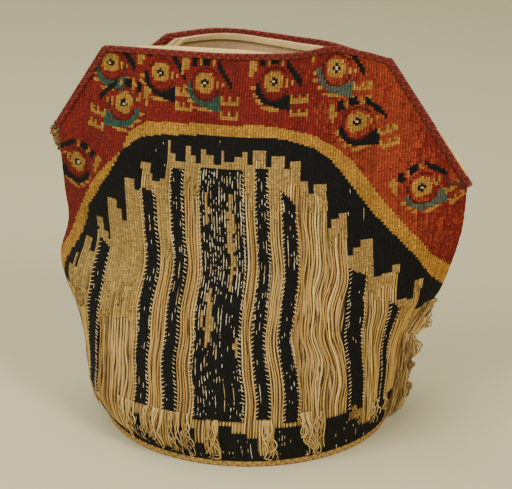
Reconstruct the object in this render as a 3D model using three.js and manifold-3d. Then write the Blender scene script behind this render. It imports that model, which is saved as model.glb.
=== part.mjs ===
// Woven mitre cap: a tapestry tube, round at the head and flattening upwards
// to a tip at each side. Above the tips the front and the back part, slant
// inwards and end at an open top. Millimetres, +Z up, the front looks to -Y.

import * as THREE from 'three';
import { mergeVertices } from 'three/addons/utils/BufferGeometryUtils.js';
import Module from 'manifold-3d';

const wasm = await Module();
wasm.setup();

// Cloth thicknesses, and the gap kept between pieces that lie together
const panelWall = 2.0;
const liningWall = 1.2;
const hemWall = 1.0;
const fitGap = 0.3;

// Head opening, over the cloth at its lower edge
const openingWidth = 173;
const openingDepth = 170;

// Side tips: reach from the middle, height, and the cap's depth between them
const leftTipReach = 114;
const leftTipHeight = 176;
const rightTipReach = 130;
const rightTipHeight = 149;
const tipLevelDepth = 80;

// Upper corners: the two panels share the right one, the left ones differ
const frontLeftReach = 84;
const frontLeftHeight = 223.5;
const backLeftReach = 47;
const backLeftHeight = 231.5;
const rightCornerReach = 82;
const rightCornerHeight = 221.5;

// Open top: how far each panel stands from the middle, and its wavy rim
const frontTopDepth = 17;
const backTopDepth = 22;
const frontRimWave = 7.3;
const backRimWave = 4;
const rimLean = 7.5;

// Binding under the lower edge, plaited edging on the upper edges, cream hems
const bindingHeight = 3.6;
const bindingWidth = 3.6;
const edgingWidth = 3.3;
const edgingThickness = 2.1;
const hemWidth = 6;
const hemGap = 0.7;
const frontHemRise = 3;

// Frayed warps at the right side: backing strip and the locks on it
const frayBacking = 1.0;
const lockThickness = 5;
const lockStandOff = 4.6;

// How the tube changes from the head opening (rise 0) to the tips (rise 1).
// left, right and depth are shares of the way from the opening's size to the
// tips' size, and round goes from an ellipse (1) to a lens (0).
const sections = [
  { rise: 0.00, left: 0.00, right: 0.00, depth: 0.00, round: 1.00 },
  { rise: 0.05, left: 0.23, right: 0.05, depth: -0.04, round: 1.00 },
  { rise: 0.12, left: 0.41, right: 0.12, depth: -0.06, round: 1.00 },
  { rise: 0.24, left: 0.46, right: 0.20, depth: 0.00, round: 0.98 },
  { rise: 0.38, left: 0.68, right: 0.28, depth: 0.16, round: 0.90 },
  { rise: 0.45, left: 0.92, right: 0.44, depth: 0.27, round: 0.80 },
  { rise: 0.53, left: 1.08, right: 0.65, depth: 0.38, round: 0.68 },
  { rise: 0.62, left: 1.02, right: 0.77, depth: 0.53, round: 0.50 },
  { rise: 0.80, left: 0.95, right: 0.94, depth: 0.79, round: 0.20 },
  { rise: 1.00, left: 1.00, right: 1.00, depth: 1.00, round: 0.00 },
];

// The upper rim from left corner (-1) to right corner (1): how far the front
// and the back rise, as shares of their waves.
const rimShape = [
  { across: -1.0, front: 0.00, back: 0.00 },
  { across: -0.6, front: 0.25, back: 0.70 },
  { across: 0.0, front: 0.44, back: 0.45 },
  { across: 0.4, front: 0.60, back: 0.05 },
  { across: 0.6, front: 1.00, back: 0.00 },
  { across: 0.8, front: 0.67, back: 0.00 },
  { across: 1.0, front: 0.00, back: 0.00 },
];

// Both rims lean to the back right of the middle, as a share of rimLean. The
// lean ends at leanSpan, a share of the right corner's reach.
const leanSpan = 0.8;
const leanGrowth = 1.5;   // power by which the lean grows from the tips to the rim
const leanShape = [
  { along: -1.00, lean: 0.00 },
  { along: -0.10, lean: 0.00 },
  { along: 0.35, lean: 0.42 },
  { along: 0.66, lean: 1.00 },
  { along: 1.00, lean: 0.00 },
];

// Locks of frayed warps: place around the front (1 is the side seam), upper
// and lower end as rise, stand-off at the middle and thickness as shares.
const frayLocks = [
  { around: 0.985, top: 0.47, bottom: 0.06, out: 1.00, thick: 0.80 },
  { around: 0.950, top: 0.46, bottom: 0.11, out: 0.70, thick: 1.00 },
  { around: 0.915, top: 0.45, bottom: 0.03, out: 0.35, thick: 0.90 },
  { around: 0.880, top: 0.43, bottom: 0.08, out: 0.15, thick: 0.80 },
  { around: 0.965, top: 0.33, bottom: 0.01, out: 0.55, thick: 0.95 },
  { around: 0.900, top: 0.30, bottom: 0.02, out: 0.60, thick: 0.75 },
];
const frayStrip = { from: 0.87, to: 0.99, bottom: 0.05, top: 0.53 };
const lockRadius = { ends: 0.22, belly: 0.28 };   // shares of a lock's thickness

// Section of the binding: out from its middle and up, as shares of its width and height
const bindingProfile = [[-0.5, 0.5], [-0.38, 0.9], [0, 1], [0.38, 0.9], [0.5, 0.5], [0.38, 0], [-0.38, 0]];

// Colour, roughness and metalness of each finish
const finishes = {
  frontTapestry: { color: 0x8a3f20, roughness: 0.92, metalness: 0 },
  backTapestry: { color: 0x6b2c16, roughness: 0.93, metalness: 0 },
  liningCloth: { color: 0xad8d5b, roughness: 0.95, metalness: 0 },
  creamHem: { color: 0xdcc08c, roughness: 0.9, metalness: 0 },
  redEdging: { color: 0x7d2a1a, roughness: 0.88, metalness: 0 },
  goldBinding: { color: 0xa98248, roughness: 0.9, metalness: 0 },
  rawWarp: { color: 0xcda56a, roughness: 0.95, metalness: 0 },
};

// Faces along each mesh: across a panel, up its crown, around the binding, down
// a lock, across the locks' strip and round a cord. Sections of the tube that
// lie further apart than longSpan get a row halfway.
const grid = { across: 28, crown: 5, binding: 40, lock: 7, strip: 4, cordSides: 6, longSpan: 0.1 };

const front = -1;
const back = 1;
const crownLevel = 1;   // rise of the tips
const rimLevel = 2;     // rise of the upper rim
const clothFoot = bindingHeight + fitGap;
const up = new THREE.Vector3(0, 0, 1);

// Smooth curve through a table's rows, with slopes taken from both neighbours
function follow(table, key, name, at) {
  const last = table.length - 1;
  let i = 0;
  while (i < last - 1 && at > table[i + 1][key]) i += 1;
  const rate = (k) => (table[k + 1][name] - table[k][name]) / (table[k + 1][key] - table[k][key]);
  const slope = (k) => {
    if (k === 0) return rate(0);
    if (k === last) return rate(last - 1);
    const before = table[k][key] - table[k - 1][key];
    const after = table[k + 1][key] - table[k][key];
    return (before * rate(k) + after * rate(k - 1)) / (before + after);
  };
  const span = table[i + 1][key] - table[i][key];
  const u = (at - table[i][key]) / span;
  return (1 + 2 * u) * (1 - u) ** 2 * table[i][name] + u * (1 - u) ** 2 * span * slope(i)
    + u * u * (3 - 2 * u) * table[i + 1][name] + u * u * (u - 1) * span * slope(i + 1);
}

const mix = THREE.MathUtils.lerp;

// Point of the cloth: across runs from the left seam (-1) to the right (1),
// rise from the lower edge (0) past the tips (1) to the rim (2), and inset is
// the distance inwards from the outer face.
function clothPoint(side, across, rise, inset = 0) {
  const low = Math.min(rise, crownLevel);
  const high = Math.max(rise - crownLevel, 0);
  const cornerReach = side === front ? frontLeftReach : backLeftReach;
  const cornerHeight = side === front ? frontLeftHeight : backLeftHeight;
  const topDepth = side === front ? frontTopDepth : backTopDepth;
  const reach = (tip, corner, name) => (high > 0 ? mix(tip, corner, high)
    : mix(openingWidth / 2, tip, follow(sections, 'rise', name, low)));
  const left = reach(leftTipReach, cornerReach, 'left');
  const right = reach(rightTipReach, rightCornerReach, 'right');
  const middle = high > 0 ? (rightTipReach - leftTipReach) / 2 : (right - left) / 2;
  const depth = high > 0 ? mix(tipLevelDepth / 2, topDepth, high)
    : mix(openingDepth / 2, tipLevelDepth / 2, follow(sections, 'rise', 'depth', low));
  const round = high > 0 ? 0 : follow(sections, 'rise', 'round', low);
  const outerHalf = across < 0 ? left + middle : right - middle;

  // A layer further in is narrower by its inset over the sine of the edge's angle
  const flatness = (1 - round) * 2 / Math.PI;
  const half = outerHalf - inset * Math.hypot(depth, outerHalf * flatness) / depth;
  const angle = across * Math.PI / 2;
  const x = middle + half * (round * Math.sin(angle) + (1 - round) * across);
  const along = THREE.MathUtils.clamp(x / (rightCornerReach * leanSpan), -1, 1);
  const lean = follow(leanShape, 'along', 'lean', along) * rimLean * high ** leanGrowth;
  const y = side * ((depth - inset) * Math.cos(angle) + fitGap / 2) + lean;

  const share = (1 + across) / 2;
  const tipLine = mix(leftTipHeight, rightTipHeight, share);
  const wave = side === front ? frontRimWave * follow(rimShape, 'across', 'front', across)
    : backRimWave * follow(rimShape, 'across', 'back', across);
  const rimLine = mix(cornerHeight, rightCornerHeight, share) + wave;
  const z = high > 0 ? mix(tipLine, rimLine, high) : mix(clothFoot, tipLine, low);
  return new THREE.Vector3(x, y, z);
}

function geometryOf(points, faces) {
  const geometry = new THREE.BufferGeometry();
  geometry.setAttribute('position', new THREE.Float32BufferAttribute(points.flatMap((p) => p.toArray()), 3));
  geometry.setIndex(faces);
  return geometry;
}

// Closed sheet between two layers over one patch of cloth. place(u, v) gives
// the across and rise of a grid point, and the four rims join the layers.
function clothSheet(side, place, columns, rows, outerInset, innerInset) {
  const points = [];
  for (const inset of [outerInset, innerInset]) {
    for (let j = 0; j <= rows.length - 1; j += 1) {
      for (let i = 0; i <= columns; i += 1) {
        const { across, rise } = place(i / columns, rows[j]);
        points.push(clothPoint(side, across, rise, inset));
      }
    }
  }
  const last = rows.length - 1;
  const layer = (last + 1) * (columns + 1);
  const at = (i, j, inner) => inner * layer + j * (columns + 1) + i;
  const faces = [];
  const quad = (a, b, c, d) => (side === front ? faces.push(a, b, c, a, c, d) : faces.push(a, c, b, a, d, c));
  for (let j = 0; j < last; j += 1) {
    for (let i = 0; i < columns; i += 1) {
      quad(at(i, j, 0), at(i + 1, j, 0), at(i + 1, j + 1, 0), at(i, j + 1, 0));
      quad(at(i, j, 1), at(i, j + 1, 1), at(i + 1, j + 1, 1), at(i + 1, j, 1));
    }
    quad(at(0, j, 0), at(0, j + 1, 0), at(0, j + 1, 1), at(0, j, 1));
    quad(at(columns, j, 0), at(columns, j, 1), at(columns, j + 1, 1), at(columns, j + 1, 0));
  }
  for (let i = 0; i < columns; i += 1) {
    quad(at(i, 0, 0), at(i, 0, 1), at(i + 1, 0, 1), at(i + 1, 0, 0));
    quad(at(i, last, 0), at(i + 1, last, 0), at(i + 1, last, 1), at(i, last, 1));
  }
  return geometryOf(points, faces);
}

// Closed tube: a ring of points for each station, joined in turn. A loop joins
// its last ring to its first, and an open run is capped at both ends.
function ringTube(rings, isLoop) {
  const sides = rings[0].length;
  const faces = [];
  const runs = isLoop ? rings.length : rings.length - 1;
  for (let j = 0; j < runs; j += 1) {
    const next = (j + 1) % rings.length;
    for (let i = 0; i < sides; i += 1) {
      const k = (i + 1) % sides;
      faces.push(j * sides + i, j * sides + k, next * sides + k, j * sides + i, next * sides + k, next * sides + i);
    }
  }
  const end = (rings.length - 1) * sides;
  for (let i = 1; i < sides - 1 && !isLoop; i += 1) {
    faces.push(0, i + 1, i, end, end + i, end + i + 1);
  }
  return geometryOf(rings.flat(), faces);
}

// Rows up the tube: one at each section, and one halfway where two lie far apart
const tubeRows = sections.flatMap(({ rise }, k) => {
  const below = k === 0 ? rise : sections[k - 1].rise;
  return rise - below > grid.longSpan ? [(below + rise) / 2, rise] : [rise];
});
const crownRows = Array.from({ length: grid.crown }, (_, j) => mix(crownLevel, rimLevel, (j + 1) / grid.crown));

// Whole panel or lining, from the lower edge to the rim
function panelSheet(side, outerInset, wall) {
  const place = (u, rise) => ({ across: 2 * u - 1, rise });
  return clothSheet(side, place, grid.across, [...tubeRows, ...crownRows], outerInset, outerInset + wall);
}

// Upper edge of a panel as across and rise: left slant, rim, right slant
function upperEdge(along, margin = 0, rimShift = 0) {
  const side = 1 - margin;
  const rim = rimLevel + rimShift;
  if (along <= 1) return { across: -side, rise: mix(crownLevel, rim, along) };
  if (along <= 2) return { across: mix(-side, side, along - 1), rise: rim };
  return { across: side, rise: mix(rim, crownLevel, along - 2) };
}

function edgeStations() {
  const stations = [];
  for (let i = 0; i < grid.crown; i += 1) stations.push(i / grid.crown);
  for (let i = 0; i < grid.across; i += 1) stations.push(1 + i / grid.across);
  for (let i = 0; i <= grid.crown; i += 1) stations.push(2 + i / grid.crown);
  return stations;
}

// Plaited edging: an oval cord seated on the slants and on the rim
function edgingTube(side) {
  const onEdge = edgeStations().map((s) => {
    const { across, rise } = upperEdge(s);
    return clothPoint(side, across, rise);
  });
  const clearOfSeam = fitGap + edgingThickness / 2;
  const rings = onEdge.map((point, k) => {
    const before = onEdge[Math.max(k - 1, 0)];
    const after = onEdge[Math.min(k + 1, onEdge.length - 1)];
    const along = after.clone().sub(before).normalize();
    const forward = along.clone().cross(up).normalize();
    const outward = forward.clone().cross(along);
    const centre = point.clone().addScaledVector(forward, side * panelWall / 2);
    if (Math.abs(point.y - fitGap * side / 2) < panelWall) {
      centre.y = side * Math.max(side * centre.y, clearOfSeam);
    }
    centre.addScaledVector(outward, fitGap + edgingWidth / 2);
    return Array.from({ length: grid.cordSides }, (_, i) => {
      const turn = (i + 0.5) * 2 * Math.PI / grid.cordSides;
      return centre.clone().addScaledVector(outward, Math.cos(turn) * edgingWidth / 2)
        .addScaledVector(forward, Math.sin(turn) * edgingThickness / 2);
    });
  });
  return ringTube(rings, false);
}

// Cream hem: a folded strip inside the lining, along the slants and the rim
function hemSheet(side, rise) {
  const crownHeight = rightCornerHeight - rightTipHeight;
  const rimShift = rise / crownHeight;
  const outer = panelWall + fitGap + liningWall + hemGap;
  const stations = edgeStations();
  const place = (u, v) => {
    const along = stations[Math.round(u * (stations.length - 1))];
    const edge = upperEdge(along, 0, rimShift);
    const inner = upperEdge(along, hemWidth / rightCornerReach, -hemWidth / crownHeight);
    return { across: mix(inner.across, edge.across, v), rise: mix(inner.rise, edge.rise, v) };
  };
  return clothSheet(side, place, stations.length - 1, [0, 1], outer, outer + hemWall);
}

// Plaited binding: a closed ring with a flat foot, under the cloth's edge
function bindingRing() {
  const rings = [];
  for (let k = 0; k < grid.binding; k += 1) {
    const turn = k * 2 * Math.PI / grid.binding;
    const outward = new THREE.Vector3(Math.cos(turn), Math.sin(turn), 0);
    const halfWidth = (openingWidth - panelWall) / 2;
    const halfDepth = (openingDepth - panelWall + fitGap) / 2;
    rings.push(bindingProfile.map(([out, height]) => new THREE.Vector3(
      outward.x * (halfWidth + out * bindingWidth),
      outward.y * (halfDepth + out * bindingWidth),
      height * bindingHeight,
    )));
  }
  return ringTube(rings, true);
}

// Solid from a closed geometry, and back again
function solidOf(geometry) {
  const merged = mergeVertices(geometry);
  const solid = new wasm.Mesh({
    numProp: 3,
    vertProperties: new Float32Array(merged.attributes.position.array),
    triVerts: new Uint32Array(merged.index.array),
  });
  return new wasm.Manifold(solid);
}

function geometryFrom(solid) {
  const mesh = solid.getMesh();
  const geometry = new THREE.BufferGeometry();
  geometry.setAttribute('position', new THREE.BufferAttribute(new Float32Array(mesh.vertProperties), 3));
  geometry.setIndex(new THREE.BufferAttribute(new Uint32Array(mesh.triVerts), 1));
  return geometry;
}

// One lock: a tapering bundle that hangs just off the cloth, seated on the strip
function frayLock({ around, top, bottom, out, thick }) {
  const rings = [];
  for (let k = 0; k <= grid.lock; k += 1) {
    const share = k / grid.lock;
    const rise = mix(top, bottom, share);
    const belly = Math.sin(Math.PI * share);
    const radius = lockThickness * thick * (lockRadius.ends + lockRadius.belly * belly);
    const standOff = fitGap + frayBacking / 2 + radius + out * lockStandOff * belly;
    const centre = clothPoint(front, around, rise, -standOff);
    rings.push(Array.from({ length: grid.cordSides }, (_, i) => {
      const turn = -i * 2 * Math.PI / grid.cordSides;
      return centre.clone().add(new THREE.Vector3(Math.cos(turn) * radius, Math.sin(turn) * radius, 0));
    }));
  }
  return ringTube(rings, false);
}

function frayedWarps() {
  const rows = tubeRows.filter((rise) => rise >= frayStrip.bottom && rise <= frayStrip.top);
  const place = (u, rise) => ({ across: mix(frayStrip.from, frayStrip.to, u), rise });
  const backing = clothSheet(front, place, grid.strip, rows, -(fitGap + frayBacking), -fitGap);
  const joined = frayLocks.reduce((sum, lock) => sum.add(solidOf(frayLock(lock))), solidOf(backing));
  return geometryFrom(joined);
}

// Parts list: node name, shape and finish
const liningInset = panelWall + fitGap;
const pieces = [
  ['front_panel', panelSheet(front, 0, panelWall), finishes.frontTapestry],
  ['back_panel', panelSheet(back, 0, panelWall), finishes.backTapestry],
  ['front_lining', panelSheet(front, liningInset, liningWall), finishes.liningCloth],
  ['back_lining', panelSheet(back, liningInset, liningWall), finishes.liningCloth],
  ['front_hem', hemSheet(front, frontHemRise), finishes.creamHem],
  ['back_hem', hemSheet(back, 0), finishes.creamHem],
  ['front_edging', edgingTube(front), finishes.redEdging],
  ['back_edging', edgingTube(back), finishes.redEdging],
  ['base_binding', bindingRing(), finishes.goldBinding],
  ['frayed_warps', frayedWarps(), finishes.rawWarp],
];

const cap = new THREE.Group();
for (const [name, geometry, finish] of pieces) {
  const mesh = new THREE.Mesh(geometry, new THREE.MeshStandardMaterial(finish));
  mesh.name = name;
  cap.add(mesh);
}

// The origin is under the middle of the whole cap, on the surface it rests on
const extent = new THREE.Box3().setFromObject(cap);
const centre = extent.getCenter(new THREE.Vector3());
cap.position.set(-centre.x, -centre.y, -extent.min.z);

export default cap;
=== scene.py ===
import math
import bpy
import numpy as np
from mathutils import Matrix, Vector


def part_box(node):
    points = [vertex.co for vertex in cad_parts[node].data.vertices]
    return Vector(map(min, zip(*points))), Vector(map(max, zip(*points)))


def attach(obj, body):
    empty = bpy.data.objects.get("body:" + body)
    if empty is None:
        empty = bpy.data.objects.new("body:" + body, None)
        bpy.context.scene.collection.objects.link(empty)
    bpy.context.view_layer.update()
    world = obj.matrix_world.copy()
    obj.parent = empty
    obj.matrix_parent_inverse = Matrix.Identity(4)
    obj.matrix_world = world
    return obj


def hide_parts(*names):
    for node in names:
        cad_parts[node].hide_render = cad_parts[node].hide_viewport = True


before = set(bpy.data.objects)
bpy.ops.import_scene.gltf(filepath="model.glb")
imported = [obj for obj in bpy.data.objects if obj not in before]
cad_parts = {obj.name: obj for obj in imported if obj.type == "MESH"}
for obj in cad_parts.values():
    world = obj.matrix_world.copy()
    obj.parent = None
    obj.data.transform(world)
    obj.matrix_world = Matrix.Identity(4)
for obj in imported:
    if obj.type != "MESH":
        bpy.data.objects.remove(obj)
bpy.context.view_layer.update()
mm = 0.001
dice = np.random.default_rng(41)

# Woven mitre cap. Metres, +Z up, the front looks to -Y. The cloth's chart is u, the distance round the
# front or the back from its middle, and z, the height; a rib of the weave keeps its u all the way up.

# Camera: stands at azimuth and elevation from the point it looks at, which falls on lookAtPixel
cameraView = {"lookAt": (-0.0085, 0, 0.115), "azimuth": 8, "elevation": 20, "distance": 1.15, "lens": 134.8,
              "sensor": 36, "frameWide": 512, "frameHigh": 489, "lookAtPixel": (247, 230)}


# The camera stands at the looked-at point plus distance times the direction of azimuth and elevation. Its
# shift is the pixel's offset from the middle of the frame, over the frame's width.
def placeCamera(v):
    azimuth, elevation = math.radians(v["azimuth"]), math.radians(v["elevation"])
    away = np.array([math.sin(azimuth) * math.cos(elevation), -math.cos(azimuth) * math.cos(elevation),
                     math.sin(elevation)])
    data = bpy.data.cameras.new("cap_camera")
    data.lens, data.sensor_width = v["lens"], v["sensor"]
    data.shift_x = (v["frameWide"] / 2 - v["lookAtPixel"][0]) / v["frameWide"]
    data.shift_y = (v["lookAtPixel"][1] - v["frameHigh"] / 2) / v["frameWide"]
    camera = bpy.data.objects.new("cap_camera", data)
    camera.location = np.array(v["lookAt"]) + away * v["distance"]
    camera.rotation_euler = (math.radians(90 - v["elevation"]), 0, azimuth)
    bpy.context.scene.collection.objects.link(camera)
    bpy.context.scene.camera = camera


placeCamera(cameraView)

# Shape of the cloth, from the same sizes as the solids
capSizes = {"openingWidth": 173 * mm, "openingDepth": 170 * mm, "foot": 3.9 * mm, "seamGap": 0.3 * mm,
            "leftTip": 114 * mm, "leftTipHeight": 176 * mm, "rightTip": 130 * mm,
            "rightTipHeight": 149 * mm, "tipDepth": 80 * mm, "rightCorner": 82 * mm,
            "rightCornerHeight": 221.5 * mm, "rimLean": 7.5 * mm, "leanSpan": 0.8, "leanGrowth": 1.5,
            "halfGirth": 132 * mm, "panelWall": 2.0 * mm, "liningWall": 1.2 * mm, "hemWall": 1.0 * mm,
            "fitGap": 0.3 * mm}
panelSides = {"front": {"out": -1, "corner": 84 * mm, "cornerHeight": 223.5 * mm, "topDepth": 17 * mm,
                        "wave": 7.3 * mm},
              "back": {"out": 1, "corner": 47 * mm, "cornerHeight": 231.5 * mm, "topDepth": 22 * mm,
                       "wave": 4 * mm}}
# rise, then shares of the way to the tips' left, right and depth, and roundness
tubeSections = np.array([
    (0.00, 0.00, 0.00, 0.00, 1.00), (0.05, 0.23, 0.05, -0.04, 1.00), (0.12, 0.41, 0.12, -0.06, 1.00),
    (0.24, 0.46, 0.20, 0.00, 0.98), (0.38, 0.68, 0.28, 0.16, 0.90), (0.45, 0.92, 0.44, 0.27, 0.80),
    (0.53, 1.08, 0.65, 0.38, 0.68), (0.62, 1.02, 0.77, 0.53, 0.50), (0.80, 0.95, 0.94, 0.79, 0.20),
    (1.00, 1.00, 1.00, 1.00, 0.00)])
# How far the left seam is dented inwards: rise and metres
leftDent = np.array([(0, 0), (0.5, 0), (0.575, 2.0 * mm), (0.67, 4.0 * mm), (0.77, 1.2 * mm), (0.86, 0),
                     (1, 0)])
# across, then the front's and the back's rise of the rim
rimShape = np.array([(-1.0, 0, 0), (-0.6, 0.25, 0.70), (0.0, 0.44, 0.45), (0.4, 0.60, 0.05), (0.6, 1.0, 0),
                     (0.8, 0.67, 0), (1.0, 0, 0)])
rimColumn = {"front": 1, "back": 2}
leanShape = np.array([(-1.0, 0.0), (-0.1, 0.0), (0.35, 0.42), (0.66, 1.0), (1.0, 0.0)])
# How far the slack warps have swung to the right: height, then a column for each of swayKnots
swayKnots = np.array([-132, -100, -75, -46, 0, 40, 75, 132]) * mm
warpSway = np.array([
    (0, 0, 0, 12, 13, 15, 14, 20, 0), (30, 0, 4, 20, 19, 16, 11, 11, 0), (60, 0, 13, 23, 19, 14, 8, 7, 0),
    (75, 0, 19, 25, 21, 12, 2, 1, 0), (90, 0, 21, 23, 18, 9, 0, -3, 0), (105, 0, 14, 17, 13, 6, 0, -3, 0),
    (120, 0, 8, 10, 8, 4, 0, -3, 0), (135, 0, 3, 5, 4, 2, 0, -2, 0), (150, 0, 0, 1, 1, 1, 0, 0, 0),
    (170, 0, 0, 0, 0, 0, 0, 0, 0), (240, 0, 0, 0, 0, 0, 0, 0, 0)]) * mm
bindingLow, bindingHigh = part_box("base_binding")
middleX = (bindingLow.x + bindingHigh.x) / 2   # the head opening's middle


# Smooth curve through a table's rows: cubic pieces. The slope at a row is the mean of the rates on both
# sides, each weighted by the other's gap
def follow(table, column, at):
    x, y = table[:, 0], table[:, column]
    gap = np.diff(x)
    rate = np.diff(y) / gap
    between = (gap[:-1] * rate[1:] + gap[1:] * rate[:-1]) / (gap[:-1] + gap[1:])
    slope = np.concatenate([rate[:1], between, rate[-1:]])
    i = np.clip(np.searchsorted(x, at, side="left") - 1, 0, len(x) - 2)
    t = (at - x[i]) / gap[i]
    return ((1 + 2 * t) * (1 - t) ** 2 * y[i] + t * (1 - t) ** 2 * gap[i] * slope[i]
            + t * t * (3 - 2 * t) * y[i + 1] + t * t * (t - 1) * gap[i] * slope[i + 1])


def mix(a, b, t):   # a, and the share t of the way on to b
    return a + (b - a) * t


def easeStep(a, b, at):   # 0 before a, 1 after b; between, three squares of the share less two cubes
    t = np.clip((at - a) / (b - a), 0, 1)
    return t * t * (3 - 2 * t)


# Height of the straight line from tip to tip, at a place across
def tipHeight(across):
    return mix(capSizes["leftTipHeight"], capSizes["rightTipHeight"], (1 + across) / 2)


# Height of the rim: the straight line from corner to corner plus the side's wave
def rimHeight(side, across):
    p = panelSides[side]
    straight = mix(p["cornerHeight"], capSizes["rightCornerHeight"], (1 + across) / 2)
    return straight + p["wave"] * follow(rimShape, rimColumn[side], across)


# Point of the cloth: across runs from the left seam (-1) to the right (1), rise from the lower edge (0) past
# the tips (1) to the rim (2). x is half the width times a mix of the ellipse's sine and the lens's straight
# share, y the depth times the cosine, plus the rim's lean. inset goes inwards.
def clothPoint(side, across, rise, inset=0.0):
    c, p = capSizes, panelSides[side]
    across, rise, inset = np.broadcast_arrays(across, rise, inset)
    low, high = np.minimum(rise, 1), np.maximum(rise - 1, 0)
    crown = rise > 1
    seam = mix(c["openingWidth"] / 2, c["leftTip"], follow(tubeSections, 1, low)) - follow(leftDent, 1, low)
    left = np.where(crown, mix(c["leftTip"], p["corner"], high), seam)
    right = np.where(crown, mix(c["rightTip"], c["rightCorner"], high),
                     mix(c["openingWidth"] / 2, c["rightTip"], follow(tubeSections, 2, low)))
    middle = np.where(crown, (c["rightTip"] - c["leftTip"]) / 2, (right - left) / 2)
    depth = np.where(crown, mix(c["tipDepth"] / 2, p["topDepth"], high),
                     mix(c["openingDepth"] / 2, c["tipDepth"] / 2, follow(tubeSections, 3, low)))
    roundness = np.where(crown, 0, follow(tubeSections, 4, low))
    outerHalf = np.where(across < 0, left + middle, right - middle)
    flatness = (1 - roundness) * 2 / np.pi
    half = outerHalf - inset * np.hypot(depth, outerHalf * flatness) / depth
    angle = across * np.pi / 2
    x = middle + half * (roundness * np.sin(angle) + (1 - roundness) * across)
    along = np.clip(x / (c["rightCorner"] * c["leanSpan"]), -1, 1)
    lean = follow(leanShape, 1, along) * c["rimLean"] * high ** c["leanGrowth"]
    y = p["out"] * ((depth - inset) * np.cos(angle) + c["seamGap"] / 2) + lean
    tipLine = tipHeight(across)
    z = np.where(crown, mix(tipLine, rimHeight(side, across), high), mix(c["foot"], tipLine, low))
    return np.stack([x + middleX, y, z], -1)


# Share of the girth that is left between the corners, on the side that s lies on: the corner's distance from
# the tips' middle over the tip's
def cornerShare(side, s):
    c, p = capSizes, panelSides[side]
    middle = (c["rightTip"] - c["leftTip"]) / 2
    return np.where(s < 0, (p["corner"] + middle) / (c["leftTip"] + middle),
                    (c["rightCorner"] - middle) / (c["rightTip"] - middle))


# Height at which the column s ends: the rim, or beyond the corners the straight slant from corner to tip
def columnTop(side, s):
    c, p = capSizes, panelSides[side]
    share = cornerShare(side, s)
    reach = np.abs(s) / c["halfGirth"]
    tip = np.where(s < 0, c["leftTipHeight"], c["rightTipHeight"])
    corner = np.where(s < 0, p["cornerHeight"], c["rightCornerHeight"])
    slant = mix(corner, tip, np.clip((reach - share) / (1 - share), 0, 1))
    return np.where(reach > share, slant, rimHeight(side, np.clip(s / c["halfGirth"] / share, -1, 1)))


# Across and rise of the chart's point s, z: above the tips a column keeps its place between the slants
def onCloth(side, s, z):
    c = capSizes
    s, z = np.broadcast_arrays(s, z)
    share = cornerShare(side, s)
    across = s / c["halfGirth"]
    low = (z - c["foot"]) / (tipHeight(across) - c["foot"])
    high = np.zeros_like(across)
    for _ in range(12):   # the slanting lines make this a fixed point
        a = np.clip(across / mix(1, share, high), -1, 1)
        high = np.clip((z - tipHeight(a)) / (rimHeight(side, a) - tipHeight(a)), 0, 1)
    crown = low > 1
    inCrown = np.clip(across / mix(1, share, high), -1, 1)
    return np.where(crown, inCrown, across), np.where(crown, 1 + high, low)


# Place s of rib u at height z: u plus the sway between the knots on either side
def swayed(u, z):
    u, z = np.broadcast_arrays(u, z)
    sway = np.stack([follow(warpSway, k + 1, z) for k in range(len(swayKnots))])
    k = np.clip(np.searchsorted(swayKnots, u) - 1, 0, len(swayKnots) - 2)
    t = (u - swayKnots[k]) / (swayKnots[k + 1] - swayKnots[k])
    low = np.take_along_axis(sway, k[None], 0)[0]
    return u + mix(low, np.take_along_axis(sway, k[None] + 1, 0)[0], np.clip(t, 0, 1))


# The cloth buckles a little: a sine round the cap times a cosine up it, which fades at all the cloth's edges
clothBuckle = {"depth": 0.9 * mm, "wideWave": 21 * mm, "tallWave": 34 * mm, "edgeFade": 25 * mm, "bend": 1.3,
               "slantWaves": 3, "turn": {"front": 0.0, "back": 1.7}}


def buckle(side, s, z):
    b = clothBuckle
    turn = b["turn"][side]
    wave = (np.sin(s / b["wideWave"] + b["bend"] * np.sin(z / b["tallWave"]) + turn)
            * np.cos(z / b["tallWave"] + s / (b["slantWaves"] * b["wideWave"]) + turn))
    clear = np.minimum(columnTop(side, s) - z, z - capSizes["foot"])
    seam = capSizes["halfGirth"] - np.abs(s)
    return b["depth"] * wave * easeStep(0, b["edgeFade"], clear) * easeStep(0, b["edgeFade"], seam)


# Point of the cloth at rib u and height z, inset inwards: the front's ribs stand where they have swung to
def chartPoint(side, u, z, inset=0.0):
    u, z = np.broadcast_arrays(u, z)
    s = swayed(u, z) if side == "front" else u
    across, rise = onCloth(side, s, z)
    return clothPoint(side, across, rise, inset + buckle(side, s, z))


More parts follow.
